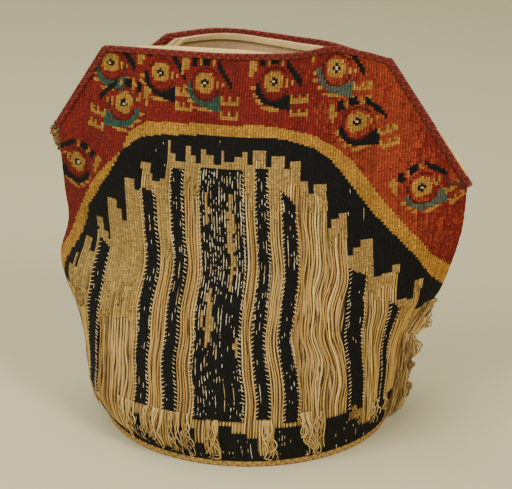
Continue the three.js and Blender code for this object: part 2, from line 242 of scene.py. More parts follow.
# Mesh from points and faces of up to four corners (-1 where a corner is missing). Faces with two equal
# neighbouring corners lose one, and what is left with fewer than three is dropped, with its unused points.
# uv has a row a point, shade a colour a face, and node names the solid whose place the piece takes.
def meshPiece(name, points, faces, material, uv, shade, node=None, flip=False, sharp=50):
    faces = np.array(faces)
    same = faces == np.roll(faces, -1, axis=1)
    faces[same] = -1
    full = (faces >= 0).sum(1) >= 3
    faces = faces[full]
    if flip:
        faces = faces[:, ::-1]
    filled = faces >= 0
    used, loops = np.unique(faces[filled], return_inverse=True)
    totals = filled.sum(1)
    starts = np.concatenate([[0], np.cumsum(totals)[:-1]])
    mesh = bpy.data.meshes.new(name)
    mesh.vertices.add(len(used))
    mesh.vertices.foreach_set("co", points.reshape(-1, 3)[used].astype(np.float32).ravel())
    mesh.loops.add(len(loops))
    mesh.loops.foreach_set("vertex_index", loops.astype(np.int32).ravel())
    mesh.polygons.add(len(starts))
    mesh.polygons.foreach_set("loop_start", starts.astype(np.int32))
    mesh.update(calc_edges=True)
    mesh.polygons.foreach_set("use_smooth", np.ones(len(starts), bool))
    layer = mesh.uv_layers.new(name="weave")
    layer.data.foreach_set("uv", uv.reshape(-1, 2)[used][loops].astype(np.float32).ravel())
    colours = np.repeat(shade[full], totals, axis=0)
    colours = np.concatenate([colours, np.ones((len(colours), 1))], 1)
    dyed = mesh.color_attributes.new("dye", "FLOAT_COLOR", "CORNER")
    dyed.data.foreach_set("color", colours.astype(np.float32).ravel())
    if sharp:
        mesh.set_sharp_from_angle(angle=math.radians(sharp))
    mesh.materials.append(material)
    piece = bpy.data.objects.new(name, mesh)
    bpy.context.scene.collection.objects.link(piece)
    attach(piece, "root")
    if node:
        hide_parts(node)
    print("made", name, int((totals - 2).sum()), "triangles")
    return piece


# Faces of a grid of quads, rows by columns, closed round a direction where asked
def gridFaces(rows, columns, loopRows=False, loopColumns=False):
    r = np.arange(rows if loopRows else rows - 1)[:, None]
    k = np.arange(columns if loopColumns else columns - 1)[None, :]
    nextRow, nextColumn = (r + 1) % rows, (k + 1) % columns
    corners = [r * columns + k, r * columns + nextColumn, nextRow * columns + nextColumn,
               nextRow * columns + k]
    return np.stack([np.broadcast_to(c, (len(r), k.shape[1])) for c in corners], -1).reshape(-1, 4)


# Closed sheet: two layers of the same grid, and a rim of quads that joins them round the edge
def layeredSheet(outer, inner):
    rows, columns = outer.shape[:2]
    faces = gridFaces(rows, columns)
    edge = np.concatenate([np.arange(columns), np.arange(1, rows) * columns + columns - 1,
                           rows * columns - 2 - np.arange(columns - 1),
                           np.arange(rows - 2, 0, -1) * columns])
    after = np.roll(edge, -1)
    layer = rows * columns
    rim = np.stack([after, edge, edge + layer, after + layer], -1)
    points = np.concatenate([outer.reshape(-1, 3), inner.reshape(-1, 3)])
    return points, np.concatenate([faces, faces[:, ::-1] + layer, rim])


# Tubes: a ring of sides points round each path point, square to the path; facing turns the ring. A loop
# joins its ends, and an open tube is closed by a fan at each end. paths is tubes x points x 3, radii tubes
# x points.
def tubeSet(paths, radii, sides, facing, loop=False):
    tubes, count = paths.shape[:2]
    if loop:
        along = np.roll(paths, -1, axis=1) - np.roll(paths, 1, axis=1)
    else:
        along = np.gradient(paths, axis=1)
    along /= np.linalg.norm(along, axis=2, keepdims=True) + 1e-12
    first = np.cross(along, np.broadcast_to(facing, along.shape))
    first /= np.linalg.norm(first, axis=2, keepdims=True) + 1e-12
    second = np.cross(first, along)
    turn = np.arange(sides) * 2 * np.pi / sides
    ring = first[:, :, None] * np.cos(turn)[:, None] + second[:, :, None] * np.sin(turn)[:, None]
    points = paths[:, :, None] + ring * radii[:, :, None, None]
    body = gridFaces(count, sides, loopRows=loop, loopColumns=True)[:, ::-1]
    if not loop:
        fan = np.arange(1, sides - 1)
        start = np.stack([0 * fan, fan + 1, fan, 0 * fan - 1], -1)
        last = (count - 1) * sides
        end = np.stack([0 * fan + last, fan + last, fan + 1 + last, 0 * fan - 1], -1)
        body = np.concatenate([body, start[:, ::-1][:, [1, 2, 3, 0]], end[:, ::-1][:, [1, 2, 3, 0]]])
    offset = np.arange(tubes)[:, None, None] * count * sides
    faces = np.where(body[None] < 0, -1, body[None] + offset)
    return points, faces.reshape(-1, 4)


# UV for tubes: u round the ring in turns, v along the path in metres over the size given
def tubeUv(paths, sides, size):
    step = np.linalg.norm(np.diff(paths, axis=1), axis=2)
    length = np.concatenate([np.zeros((len(paths), 1)), np.cumsum(step, axis=1)], 1) / size
    around = np.arange(sides) / sides
    return np.stack(np.broadcast_arrays(around[None, None, :], length[:, :, None]), -1)


# Materials: what all the cloths share, and the mottle of fibres and stains with the fuzz in the bump
clothLook = {"specular": 0.15, "sheenRoughness": 0.6, "sheenTint": (1, 0.9, 0.75, 1), "stain": 24 * mm,
             "fibreDetail": 3.0, "stainDetail": 4.0, "noiseRoughness": 0.6, "noiseLow": 0.3,
             "noiseHigh": 0.7, "lightShare": 0.7, "fuzzScale": 2400.0, "fuzzDetail": 2.0, "fuzzHeight": 1.8}


# Screen colour 0-255 to scene colour: the low part divided by 12.92, the rest raised to the power 2.4
def linear(*colour):
    c = np.array(colour) / 255
    return np.where(c <= 0.04045, c / 12.92, ((c + 0.055) / 1.055) ** 2.4)


def newMaterial(name, roughness, sheen):   # a rough shader with a little sheen
    material = bpy.data.materials.new(name)
    material.use_nodes = True
    nodes = material.node_tree.nodes
    shader = nodes["Principled BSDF"]
    for key, value in (("Roughness", roughness), ("Specular IOR Level", clothLook["specular"]),
                       ("Sheen Weight", sheen), ("Sheen Roughness", clothLook["sheenRoughness"]),
                       ("Sheen Tint", clothLook["sheenTint"])):
        shader.inputs[key].default_value = value
    return material, nodes, material.node_tree.links, shader


def addNode(nodes, kind, **settings):   # a setting goes to the input of its name, or to the node
    node = nodes.new(kind)
    for key, value in settings.items():
        if key in node.inputs:
            node.inputs[key].default_value = value
        else:
            setattr(node, key, value)
    return node


def mathNode(nodes, links, operation, first, second=None, third=None):   # of numbers or outputs
    node = addNode(nodes, "ShaderNodeMath", operation=operation)
    for i, value in enumerate((first, second, third)):
        if value is None:
            continue
        if isinstance(value, (int, float)):
            node.inputs[i].default_value = value
        else:
            links.new(value, node.inputs[i])
    return node.outputs[0]


def mixColours(nodes, links, kind, share, first, second):   # share of the second over the first
    node = addNode(nodes, "ShaderNodeMix", data_type="RGBA", blend_type=kind)
    for i, value in ((0, share), (6, first), (7, second)):
        if isinstance(value, (int, float, tuple)):
            node.inputs[i].default_value = value
        else:
            links.new(value, node.inputs[i])
    return node.outputs[2]


# Colour times a light and dark mottle: two noises in object space, one of fibres and one of stains, each
# spread from one less its depth to one plus a share of it
def mottled(nodes, links, colour, fibre, fibreDepth, stainDepth):
    k = clothLook
    place = addNode(nodes, "ShaderNodeTexCoord")
    for size, depth, detail in ((fibre, fibreDepth, k["fibreDetail"]),
                                (k["stain"], stainDepth, k["stainDetail"])):
        noise = addNode(nodes, "ShaderNodeTexNoise", Scale=1 / size, Detail=detail,
                        Roughness=k["noiseRoughness"])
        links.new(place.outputs["Object"], noise.inputs["Vector"])
        span = addNode(nodes, "ShaderNodeMapRange", **{
            "From Min": k["noiseLow"], "From Max": k["noiseHigh"], "To Min": 1 - depth,
            "To Max": 1 + depth * k["lightShare"]})
        links.new(noise.outputs["Fac"], span.inputs["Value"])
        colour = mixColours(nodes, links, "MULTIPLY", 1.0, colour, span.outputs["Result"])
    return colour


# Wool or cotton dyed face by face. Its bump is cosine ridges of the UV map, perU and perV to a UV unit, each
# rib shifted by slant, plus a fuzz of fibres
def dyedCloth(name, roughness, sheen, fibre, fibreDepth, stainDepth, perU, perV, depth, slant):
    material, nodes, links, shader = newMaterial(name, roughness, sheen)
    uv = addNode(nodes, "ShaderNodeUVMap", uv_map="weave").outputs["UV"]
    dye = addNode(nodes, "ShaderNodeAttribute", attribute_name="dye")
    colour = mottled(nodes, links, dye.outputs["Color"], fibre, fibreDepth, stainDepth)
    links.new(colour, shader.inputs["Base Color"])
    parts = addNode(nodes, "ShaderNodeSeparateXYZ")
    links.new(uv, parts.inputs[0])
    place = addNode(nodes, "ShaderNodeTexCoord")
    fuzz = addNode(nodes, "ShaderNodeTexNoise", Scale=clothLook["fuzzScale"], Detail=clothLook["fuzzDetail"])
    links.new(place.outputs["Object"], fuzz.inputs["Vector"])
    height = mathNode(nodes, links, "MULTIPLY", fuzz.outputs["Fac"], clothLook["fuzzHeight"])
    leaning = mathNode(nodes, links, "MULTIPLY_ADD", parts.outputs["X"], slant, parts.outputs["Y"])
    for along, ridges in ((parts.outputs["X"], perU), (leaning, perV)):
        if ridges:
            turns = mathNode(nodes, links, "MULTIPLY", along, 2 * math.pi * ridges)
            height = mathNode(nodes, links, "ADD", height, mathNode(nodes, links, "COSINE", turns))
    bump = addNode(nodes, "ShaderNodeBump", Strength=1.0, Distance=depth)
    links.new(height, bump.inputs["Height"])
    links.new(bump.outputs["Normal"], shader.inputs["Normal"])
    return material


dyeColours = {"red": (130, 33, 25), "fadedRed": (154, 60, 34), "gold": (188, 134, 52), "black": (15, 15, 15),
              "tan": (182, 144, 82), "cream": (236, 214, 168), "teal": (52, 84, 70), "grey": (84, 92, 76),
              "darkRed": (92, 20, 12), "figure": (176, 126, 54)}
dyeNames = list(dyeColours)
dyeTable = np.array([linear(*dyeColours[n]) for n in dyeNames])
dyeOf = {n: i for i, n in enumerate(dyeNames)}

# Cloths: roughness, sheen, the fibres' size and mottle, the stains' mottle, ridges to a UV unit round and
# along, the bump's depth, and how far each rib shifts its ridges
cloths = {"tapestry_wool": (0.92, 0.05, 0.6 * mm, 0.4, 0.16, 0, 1.6, 0.16 * mm, 0.5),
          "back_wool": (0.92, 0.05, 0.6 * mm, 0.4, 0.2, 0, 1.6, 0.16 * mm, 0.5),
          "lining_cotton": (0.95, 0.08, 0.8 * mm, 0.14, 0.2, 1.0, 1.0, 0.012 * mm, 0.0),
          "hem_cotton": (0.93, 0.1, 0.7 * mm, 0.14, 0.12, 1.0, 1.0, 0.015 * mm, 0.0),
          "warp_cotton": (0.9, 0.12, 0.7 * mm, 0.2, 0.12, 0, 1.0, 0.1 * mm, 1.0),
          "edging_wool": (0.9, 0.15, 0.6 * mm, 0.3, 0.15, 0, 1.0, 0.12 * mm, 1.0),
          "binding_wool": (0.9, 0.15, 0.6 * mm, 0.3, 0.15, 0, 1.0, 0.12 * mm, 1.0)}
tapestryWool, backWool, liningCotton, hemCotton, warpCotton, edgingWool, bindingWool = [
    dyedCloth(name, *look) for name, look in cloths.items()]
print("materials ready")


# Colour for each tube: one picked at random, times e to the power of a random number with that spread
def strandDyes(tubes, colours, spread):
    table = np.array([linear(*c) for c in colours])
    return table[dice.integers(len(table), size=tubes)] * np.exp(spread * dice.standard_normal((tubes, 1)))


# Piece of tubes: dyes has a colour a tube, and the UV runs round it and along it, unitV metres to a unit
def tubePiece(name, paths, radii, sides, facing, material, dyes, unitV=1.1 * mm, node=None,
              loop=False):
    points, faces = tubeSet(paths, radii, sides, facing, loop)
    shade = np.repeat(dyes, len(faces) // len(dyes), axis=0)
    return meshPiece(name, points, faces, material, tubeUv(paths, sides, unitV), shade, node, sharp=0)


# Piece of closed sheet in one colour, or in a random one of several a face where spread is given
def sheetPiece(name, outer, inner, uv, material, colours, node=None, flip=False, spread=None):
    points, faces = layeredSheet(outer, inner)
    if spread is None:
        shade = np.broadcast_to(linear(*colours), (len(faces), 3))
    else:
        shade = strandDyes(len(faces), colours, spread)
    uv = np.stack(np.broadcast_arrays(*uv), -1)
    return meshPiece(name, points, faces, material, np.concatenate([uv, uv]), shade, node, flip)


# The weave's chart: ribs across and rows of weft up. The front's rows are finer where the birds are. faded
# is the share of faded red weft at u. The tints of the cap's left and right are partly painted shade, darker
# on the left as if it were less lit, and partly the cloth's own greyer tone there. The shades of a rib's
# parts are painted shade in its grooves and a painted highlight on its ridge, and painted shade on the rims
# of holes
weave = {"rib": 1.65 * mm, "groove": 0.34 * mm, "ridge": -0.12 * mm, "unevenPack": 0.06 * mm,
         "bumpUnit": 1.4 * mm, "frontRow": 1.5 * mm, "fineRow": 0.98 * mm, "fineFrom": 100 * mm,
         "backRow": 1.6 * mm, "top": 233 * mm, "lastRow": 0.3 * mm, "dyeNoise": 0.16, "ribNoise": 0.07,
         # tints from left to right: partly painted shade, darkening the left side as if it were less lit, and
         # partly the cloth's own greyer tone there
         "leftToneAndShade": (0.88, 0.93, 0.86), "rightToneAndShade": (1.0, 1.0, 1.0), "tintFrom": -110, "tintTo": 125,
         # groove and ridge factors: painted shade in each rib's grooves and a painted highlight on its ridge
         "groovePaintedShade": 0.76, "ridgePaintedHighlight": 1.18, "rimPaintedShade": 0.8, "turnedRows": 8,
         "faded": ([20, 60, 85, 110, 132], [0, 0.7, 0.9, 0.4, 0.3])}
ribCount = round(2 * capSizes["halfGirth"] / weave["rib"])
ribU = (-capSizes["halfGirth"] + (np.arange(ribCount) + 0.5) * weave["rib"])[:, None] / mm   # middles, mm
frontRows = np.concatenate([
    np.arange(capSizes["foot"], weave["fineFrom"] - weave["frontRow"] / 2, weave["frontRow"]),
    np.arange(weave["fineFrom"], weave["top"], weave["fineRow"])])
backRows = np.arange(capSizes["foot"], weave["top"], weave["backRow"])

# Gold band round the arch: its edges as u and z in mm
goldBand = {"upper": ([-132, -128, -122.5, -112.5, -103.5, -93.5, -85, -80.5, -69, -47, 4, 16, 36.5,
                       51.5, 63, 73, 90.5, 111, 123.5, 132],
                      [96, 106.5, 122.5, 137.5, 150, 160, 169, 180, 187, 188.5, 190, 188.5, 184,
                       177, 168.5, 156, 134.5, 111.5, 103.5, 99]),
            "lower": ([-132, -120, -110, -93, -84, -73, -58, -28.5, 4, 20, 36.5, 48.5, 58, 69, 87.5,
                       112.5, 124.5, 132],
                      [66, 103, 131.5, 153.5, 170, 178, 181, 183.5, 183.5, 182.5, 177.5, 170.5, 161, 146,
                       126, 98.5, 91, 87])}
# Stepped lower edge of the black arch: u where a step starts, and its z
teethSteps = [(-132, 60), (-124, 84), (-119, 96), (-116, 103), (-113.5, 96), (-111.5, 114), (-107.5, 107),
              (-104, 127), (-98.5, 121), (-96, 117), (-93.5, 140), (-87, 135), (-83.5, 129), (-81, 154),
              (-74, 148),
              (-71.5, 144), (-70.5, 165), (-65, 159), (-62, 155), (-58, 157), (-55, 178), (-52, 171.5),
              (-49, 167.5), (-43.5, 176.5), (-39.5, 172), (-37, 167.5), (-33, 175.5), (-29, 173),
              (-25, 167.5),
              (-20, 175.5), (-17.5, 170), (-11, 172.5), (-7, 175.5), (-3, 168.5), (0.5, 176), (8, 168),
              (11, 173.5), (19, 167), (22.5, 170.5), (30.5, 160), (34.5, 153), (38.5, 158), (45.5, 133),
              (48.5, 138), (52.5, 141.5), (57.5, 118), (61.5, 121.5), (66.5, 125), (73.5, 104), (80, 104.5),
              (85, 109), (91.5, 88), (97, 86), (103, 97), (109, 78), (116, 66), (124, 58)]
# Black stripes: left and right u, foot, head, and how far the head falls from its left to its right
blackStripes = [(-128, -122, 26, 80, 6), (-101.5, -93.5, 24, 116, 4), (-69.5, -60.5, 32, 150, 2),
                (-51, -43, 32, 164, 0), (-33.5, -5.5, 29.5, 166, 0), (1.5, 9.5, 31, 167, 0),
                (17.5, 27, 27.5, 156, 11), (58.5, 69.5, 27, 111, 6), (85.5, 92.5, 23, 89, 6)]
# Black blocks of the lower border: left and right u and the top
blackBlocks = [(-132, -96, 11), (-73, -66, 25), (-66, -61, 19), (-61, -55, 12), (-46.5, -32, 24),
               (-32, -26, 15),
               (-18, -12, 26), (-12, -3, 22.5), (-3, 4, 19), (13.5, 29.5, 25.5), (29.5, 36.5, 21),
               (44.5, 59, 27), (59, 70, 21), (70, 81, 13.5), (81, 132, 25)]
# Tan weft that is left between the stripes: left and right u, its ragged lower end, and the top
tanPatches = [(-93.5, -72, 84, 160), (-43, -33.5, 156, 170), (-5.5, 1.5, 150, 170), (9.5, 17.5, 148, 172),
              (-120, -103, 84, 120), (57, 73.5, 100, 130), (-59, -52, 118, 176)]
# Spots of the widest stripe where its black is worn to tan: middle u, foot, head and half width
wornSpots = [(-14, 100, 152, 3.6), (-26, 68, 102, 3.6), (-8, 62, 80, 1.6), (-29, 134, 152, 1.8)]
# Bird heads in the red band: eye at u and z, colour of the beak, mirror, and turn in degrees
birdHeads = [(-96, 216.5, "teal", 1, 0), (-61.5, 214.5, "black", 1, 0), (-32, 211.5, "teal", 1, 0),
             (11, 213, "black", 1, 0), (48.5, 219.5, "grey", 1, 0), (-85.5, 195, "teal", -1, -10),
             (-118.5, 156, "black", -1, -25), (63.5, 190.5, "black", 1, -14), (103, 151.5, "grey", 1, -26)]
# A bird head, in mm from its eye. Arcs: inner and outer radius, first and last degree. Teeth: spacing, width
birdShape = {"centre": (0.5, -1), "plume": (12.4, 15, 178, 290), "plumeTeeth": (3.9, 2.1),
             "jawArc": (9.2, 12.2, 175, 280), "eyeArc": (8, 9.2, 30, 360),
             "jaw": (-1.5, 11, -16, -6.5), "jawFoot": 0.22, "jawTop": 0.3, "eyeField": (5.6, 5.2, 8.4),
             "bill": (6, 12.5), "billHalf": 2.8, "billTaper": 0.3, "billTeeth": (3.4, 1.7), "pupil": 2.7,
             "glint": (0.9, 0.6), "brow": (7, 16.8), "browTop": 10.5, "browFall": 1.2, "browHalf": 2.3,
             "crest": ((-15.5, -11.5, 3, 13, "figure"), (-13.4, -11, 3, 6, "red"),
                       (-9.8, -6, 8.4, 14, "black"), (-4.8, -2.8, 9, 13, "figure"),
                       (-2.6, 2.8, 9.4, 14, "black"), (3.6, 5.2, 9, 12.6, "figure")),
             "comb": (11, 22.4), "combFeet": (-11.6, -19.4), "combBar": 2, "combTop": 4.6,
             "combTeeth": (4.4, 1.9)}
# How the weft is lost: rows that are always black at the foot, a zone that is whole (left, right, foot), how
# far the weft hangs below the arch's steps, and how ragged patches and spots end along the ribs
wear = {"footBlack": 7.5, "whole": (-56, -2, 163), "hang": 4, "raggedHang": 11, "raggedPatch": 26,
        "raggedSpot": 1.3, "longPacks": 6, "shortPacks": 2, "longShare": 0.6, "shortShare": 0.4}


# Streaks along the ribs: random numbers summed along each rib over a few rows, spread evenly from 0 to 1
def ribStreaks(rowCount, packs):
    rough = dice.random((ribCount, rowCount + packs))
    sums = np.cumsum(rough, axis=1)
    smooth = sums[:, packs:] - sums[:, :-packs]
    order = np.argsort(np.argsort(smooth.ravel()))
    return (order / order.size).reshape(ribCount, rowCount)


def within(value, low, high):   # true where the value lies between the two
    return (value > low) & (value < high)


# One bird head drawn into the chart, turned and mirrored about its eye: plume, jaw, ring, eye, bill, crest,
# brow and two combs, each a simple outline
def drawBird(chart, rowZ, u, z, beak, mirror, turn):
    b, a = birdShape, math.radians(turn)
    du, dz = (ribU - u) * mirror, rowZ - z
    x, y = du * math.cos(a) - dz * math.sin(a), du * math.sin(a) + dz * math.cos(a)
    clear = rowZ > np.interp(ribU, *goldBand["upper"]) + 1
    centreX, centreY = b["centre"]
    far = np.hypot(x - centreX, y - centreY)
    angle = np.degrees(np.arctan2(y - centreY, x - centreX)) % 360

    def dyeIn(inside, dye):
        chart[inside & clear] = dyeOf[dye]

    def arc(inner, outer, first, last):
        return within(far, inner, outer) & within(angle, first, last)

    def teeth(value, spacing, wide):
        return value % spacing < wide

    dyeIn(arc(*b["plume"]) & teeth(y, *b["plumeTeeth"]), "figure")
    dyeIn(arc(*b["jawArc"]), beak)
    left, right, foot, top = b["jaw"]
    narrow = right - x
    dyeIn(within(x, left, right) & within(y, foot + b["jawFoot"] * narrow, top - b["jawTop"] * narrow), beak)
    dyeIn(arc(*b["eyeArc"]), "darkRed")
    wide, tall, diamond = b["eyeField"]
    dyeIn((np.abs(x) < wide) & (np.abs(y) < tall) & (np.abs(x) + np.abs(y) < diamond), "figure")
    billHalf = b["billHalf"] - b["billTaper"] * (x - b["bill"][0])
    dyeIn(within(x, *b["bill"]) & (np.abs(y - centreY) < billHalf) & teeth(x, *b["billTeeth"]), "figure")
    dyeIn(np.abs(x) + np.abs(y) < b["pupil"], "black")
    dyeIn((np.abs(x) < b["glint"][0]) & (np.abs(y) < b["glint"][1]), "cream")
    for left, right, low, high, dye in b["crest"]:
        dyeIn(within(x, left, right) & within(y, low, high), dye)
    browMiddle = b["browTop"] - b["browFall"] * (x - b["brow"][0])
    dyeIn(within(x, *b["brow"]) & (np.abs(y - browMiddle) < b["browHalf"]), "black")
    for foot in b["combFeet"]:
        dyeIn(within(x, *b["comb"]) & within(y, foot, foot + b["combBar"]), "figure")
        tooth = (y >= foot + b["combBar"]) & (y < foot + b["combTop"])
        dyeIn(within(x, *b["comb"]) & tooth & teeth(x - b["comb"][0], *b["combTeeth"]), "figure")


# The whole chart: a dye for each rib and row, which of them are still there, and which lie below the arch
def drawChart(rows, worn):
    w = wear
    rowZ = (rows[:-1] + rows[1:])[None, :] / 2 / mm
    streak, fine = ribStreaks(len(rows) - 1, w["longPacks"]), ribStreaks(len(rows) - 1, w["shortPacks"])
    upper, lower = np.interp(ribU, *goldBand["upper"]), np.interp(ribU, *goldBand["lower"])
    starts, heights = np.array(teethSteps).T
    step = np.clip(np.searchsorted(starts, ribU[:, 0], side="right") - 1, 0, len(starts) - 1)
    teeth = heights[step][:, None]
    chart = np.full((ribCount, len(rows) - 1), dyeOf["red"])
    faded = streak * w["longShare"] + fine * w["shortShare"] < np.interp(ribU, *weave["faded"])
    chart[faded] = dyeOf["fadedRed"]
    for bird in birdHeads:
        drawBird(chart, rowZ, *bird)
    chart[(rowZ < upper) & (rowZ >= lower)] = dyeOf["gold"]
    chart[rowZ < lower] = dyeOf["black"]
    below = rowZ < np.minimum(teeth, lower)
    chart[below] = dyeOf["tan"]
    stripe = np.zeros_like(below)
    for left, right, foot, head, fall in blackStripes:
        top = head - fall * np.clip((ribU - left) / (right - left), 0, 1)
        stripe |= below & within(ribU, left, right) & within(rowZ, foot, top)
    block = below & (rowZ < w["footBlack"])
    for left, right, top in blackBlocks:
        block |= below & within(ribU, left, right) & (rowZ < top)
    black = stripe | block
    chart[black] = dyeOf["black"]
    left, right, foot = w["whole"]
    kept = ~below | black | (below & within(ribU, left, right) & (rowZ > foot))
    kept |= below & (rowZ > teeth - w["hang"] - w["raggedHang"] * streak ** 2)
    for left, right, low, high in tanPatches:
        raggedLow = low + w["raggedPatch"] * (streak - 0.5)
        kept |= below & within(ribU, left, right) & within(rowZ, raggedLow, high)
    if worn:
        for middle, low, high, halfWide in wornSpots:   # pointed ovals, ragged along the ribs
            bulge = np.sin(np.pi * np.clip((rowZ - low) / (high - low), 0, 1))
            spot = np.abs(ribU - middle) < halfWide * bulge * (w["raggedSpot"] - streak)
            chart[stripe & spot] = dyeOf["tan"]
    else:
        kept[:] = True
    return chart, kept, below


frontChart, frontKept, frontBelow = drawChart(frontRows, True)
backChart, backKept = drawChart(backRows, False)[:2]
print("charts drawn")


# Tapestry panels: three outer columns a rib (a groove and two on the ridge), one inner column a rib, and a
# rim of faces wherever the neighbouring weft is gone. Column tops are held at the cloth's upper edge. A face
# has its dye times e to the power of a random number of its own and one of its rib, times the tint, which is
# partly painted shade on the left side and partly the cloth's own tone there. Groove and rim faces are
# darkened as painted shade, ridge faces lightened as a painted highlight.
def tapestryPanel(name, side, rows, chart, kept, material, node):
    g, c = weave, capSizes
    columns, height = 3 * ribCount + 1, len(rows)
    u = np.linspace(-c["halfGirth"], c["halfGirth"], columns)
    top = columnTop(side, u)
    rowTop = np.clip(np.searchsorted(rows, top - g["lastRow"]), 1, height - 1)
    z = np.minimum(rows[None, :], top[:, None])
    z = np.where(np.arange(height)[None, :] >= rowTop[:, None], top[:, None], z)
    relief = np.where(np.arange(columns) % 3 == 0, g["groove"], g["ridge"])[:, None]
    uneven = g["unevenPack"] * dice.standard_normal((columns, height))
    outer = chartPoint(side, u[:, None], z, relief + uneven)
    inner = chartPoint(side, u[::3, None], z[::3], c["panelWall"])
    points = np.concatenate([outer.reshape(-1, 3), inner.reshape(-1, 3)])

    def outerAt(column, row):
        return column * height + np.minimum(row, rowTop[column])

    def innerAt(rib, row):
        return columns * height + rib * height + np.minimum(row, rowTop[3 * rib])

    ribTop = np.max(np.stack([rowTop[i::3][:ribCount] for i in range(3)] + [rowTop[3::3]]), axis=0)
    kept = kept & (np.arange(height - 1)[None, :] < ribTop[:, None])
    around = np.pad(kept, 1)
    k, r = np.nonzero(kept)
    faces, shades = [], []
    # left-to-right tint: partly painted shade on the less lit left side, partly the cloth's own tone
    toneAndShade = mix(np.array(g["leftToneAndShade"]), np.array(g["rightToneAndShade"]), easeStep(g["tintFrom"], g["tintTo"], ribU))
    faceDye = dyeTable[chart] * np.exp(g["dyeNoise"] * dice.standard_normal(chart.shape))[..., None]
    faceDye *= np.exp(g["ribNoise"] * dice.standard_normal((ribCount, 1)))[..., None] * toneAndShade[:, None]

    def add(corners, rib, row, paintedLight=1.0):
        faces.append(np.stack(np.broadcast_arrays(*corners), -1))
        shades.append(faceDye[rib, row] * paintedLight)

    # painted shade on a rib's groove columns and a painted highlight on its ridge column
    for i, paintedLight in enumerate((g["groovePaintedShade"], g["ridgePaintedHighlight"], g["groovePaintedShade"])):
        add([outerAt(3 * k + i, r), outerAt(3 * k + i + 1, r), outerAt(3 * k + i + 1, r + 1),
             outerAt(3 * k + i, r + 1)], k, r, paintedLight)
    add([innerAt(k, r), innerAt(k, r + 1), innerAt(k + 1, r + 1), innerAt(k + 1, r)], k, r)
    turnedEdge = r > ribTop[k] - g["turnedRows"]   # its inside is bound with cream cotton
    shades[-1] = np.where(turnedEdge[:, None], dyeTable[dyeOf["cream"]], shades[-1])
    # the walls and ends of each hole where weft is gone are darkened as painted shade
    for dk, dr in ((-1, 0), (1, 0), (0, -1), (0, 1)):
        bare = ~around[k + 1 + dk, r + 1 + dr]
        a, b = k[bare], r[bare]
        if dk:
            column, rib = (3 * a, a) if dk == -1 else (3 * a + 3, a + 1)
            low, high = (b, b + 1) if dk == -1 else (b + 1, b)
            add([outerAt(column, low), outerAt(column, high), innerAt(rib, high), innerAt(rib, low)],
                a, b, g["rimPaintedShade"])
        else:
            row = b + (dr == 1)
            o = [outerAt(3 * a + i, row) for i in range(4)]
            p = [innerAt(a, row), innerAt(a + 1, row)]
            none = np.full_like(a, -1)
            if dr == -1:
                fan = [[o[1], o[0], p[0], none], [o[2], o[1], p[0], p[1]], [o[3], o[2], p[1], none]]
            else:
                fan = [[o[0], o[1], p[0], none], [o[1], o[2], p[1], p[0]], [o[2], o[3], p[1], none]]
            for corners in fan:
                add(corners, a, b, g["rimPaintedShade"])
    rise = (z - c["foot"]) / g["bumpUnit"]
    uv = [np.stack(np.broadcast_arrays(np.arange(n)[:, None] / ribs, part), -1).reshape(-1, 2)
          for n, ribs, part in ((columns, 3, rise), (ribCount + 1, 1, rise[::3]))]
    return meshPiece(name, points, np.concatenate(faces), material, np.concatenate(uv),
                     np.concatenate(shades), node, flip=side == "back")


frontPanel = tapestryPanel("tapestry_front", "front", frontRows, frontChart, frontKept, tapestryWool,
                           "front_panel")
backPanel = tapestryPanel("tapestry_back", "back", backRows, backChart, backKept, backWool,
                          "back_panel")
print("tapestry done")

# Linings: a closed sheet just inside each panel, with the panel's buckles. threads is UV units to a mm
lining = {"columns": 90, "rows": 70, "colour": (226, 190, 140), "threads": 2.2, "tall": 170}


# The sheet lies inside the cloth's face by the panel's wall and a gap, plus the buckle at its place
def liningSheet(name, side, node):
    c = capSizes
    across = np.linspace(-1, 1, lining["columns"])[None, :]
    rise = np.linspace(0, 2, lining["rows"])[:, None]
    s = across * c["halfGirth"] * np.where(rise > 1, mix(1, cornerShare(side, across), rise - 1), 1)
    wave = buckle(side, s, clothPoint(side, across, rise)[..., 2])
    start = c["panelWall"] + c["fitGap"]
    outer = clothPoint(side, across, rise, start + wave)
    inner = clothPoint(side, across, rise, start + c["liningWall"] + wave)
    uv = (across * c["halfGirth"] / mm * lining["threads"], rise * lining["tall"] * lining["threads"])
    return sheetPiece(name, outer, inner, uv, liningCotton, lining["colour"], node,
                      flip=side == "back")


frontLining = liningSheet("lining_front", "front", "front_lining")
backLining = liningSheet("lining_back", "back", "back_lining")
print("linings done")


# Upper edge: left slant, rim, right slant. along runs 0..1..2..3 over the three, straight in each
def upperEdge(along, margin=0.0, rimShift=0.0):
    side, rim = 1 - margin, 2 + rimShift
    across = np.where(along <= 1, -side, np.where(along <= 2, mix(-side, side, along - 1), side))
    rise = np.where(along <= 1, mix(1, rim, along), np.where(along <= 2, rim, mix(rim, 1, along - 2)))
    return across, rise


# Hem: a strip folded double. Its profile goes up the outer leaf, over the fold and down the inner one, as
# shares of the strip's width (up) and of its wall (through), for the two faces of the cloth. The rises, in
# mm over the edge at a place along it, lift the front's strip above the edging at the left
hem = {"width": 4.4 * mm, "gap": 0.7 * mm, "stations": 300, "colour": (240, 208, 140), "threads": (180, 3.0),
       "pucker": 0.12 * mm, "puckers": 160, "puckerBend": 2, "puckerDrift": 37,
       "frontRise": ([0, 0.95, 1.0, 1.15, 1.3, 1.42, 1.52, 1.7, 3],
                     [1.0, 2.0, 4.6, 5.2, 4.8, 4.2, 2.4, -0.5, 0]),
       "backRise": ([0, 1, 2, 3], [0.8, 0.8, 0.8, 0.8]),
       "outerUp": (0, 0.35, 0.7, 0.94, 1.0, 0.94, 0.7, 0.35, 0),
       "outerThrough": (0, -0.1, -0.05, 0.1, 0.5, 0.9, 1.05, 1.1, 1.0),
       "innerUp": (0, 0.35, 0.7, 0.88, 0.91, 0.88, 0.7, 0.35, 0),
       "innerThrough": (0.4, 0.32, 0.36, 0.42, 0.5, 0.58, 0.64, 0.68, 0.6)}


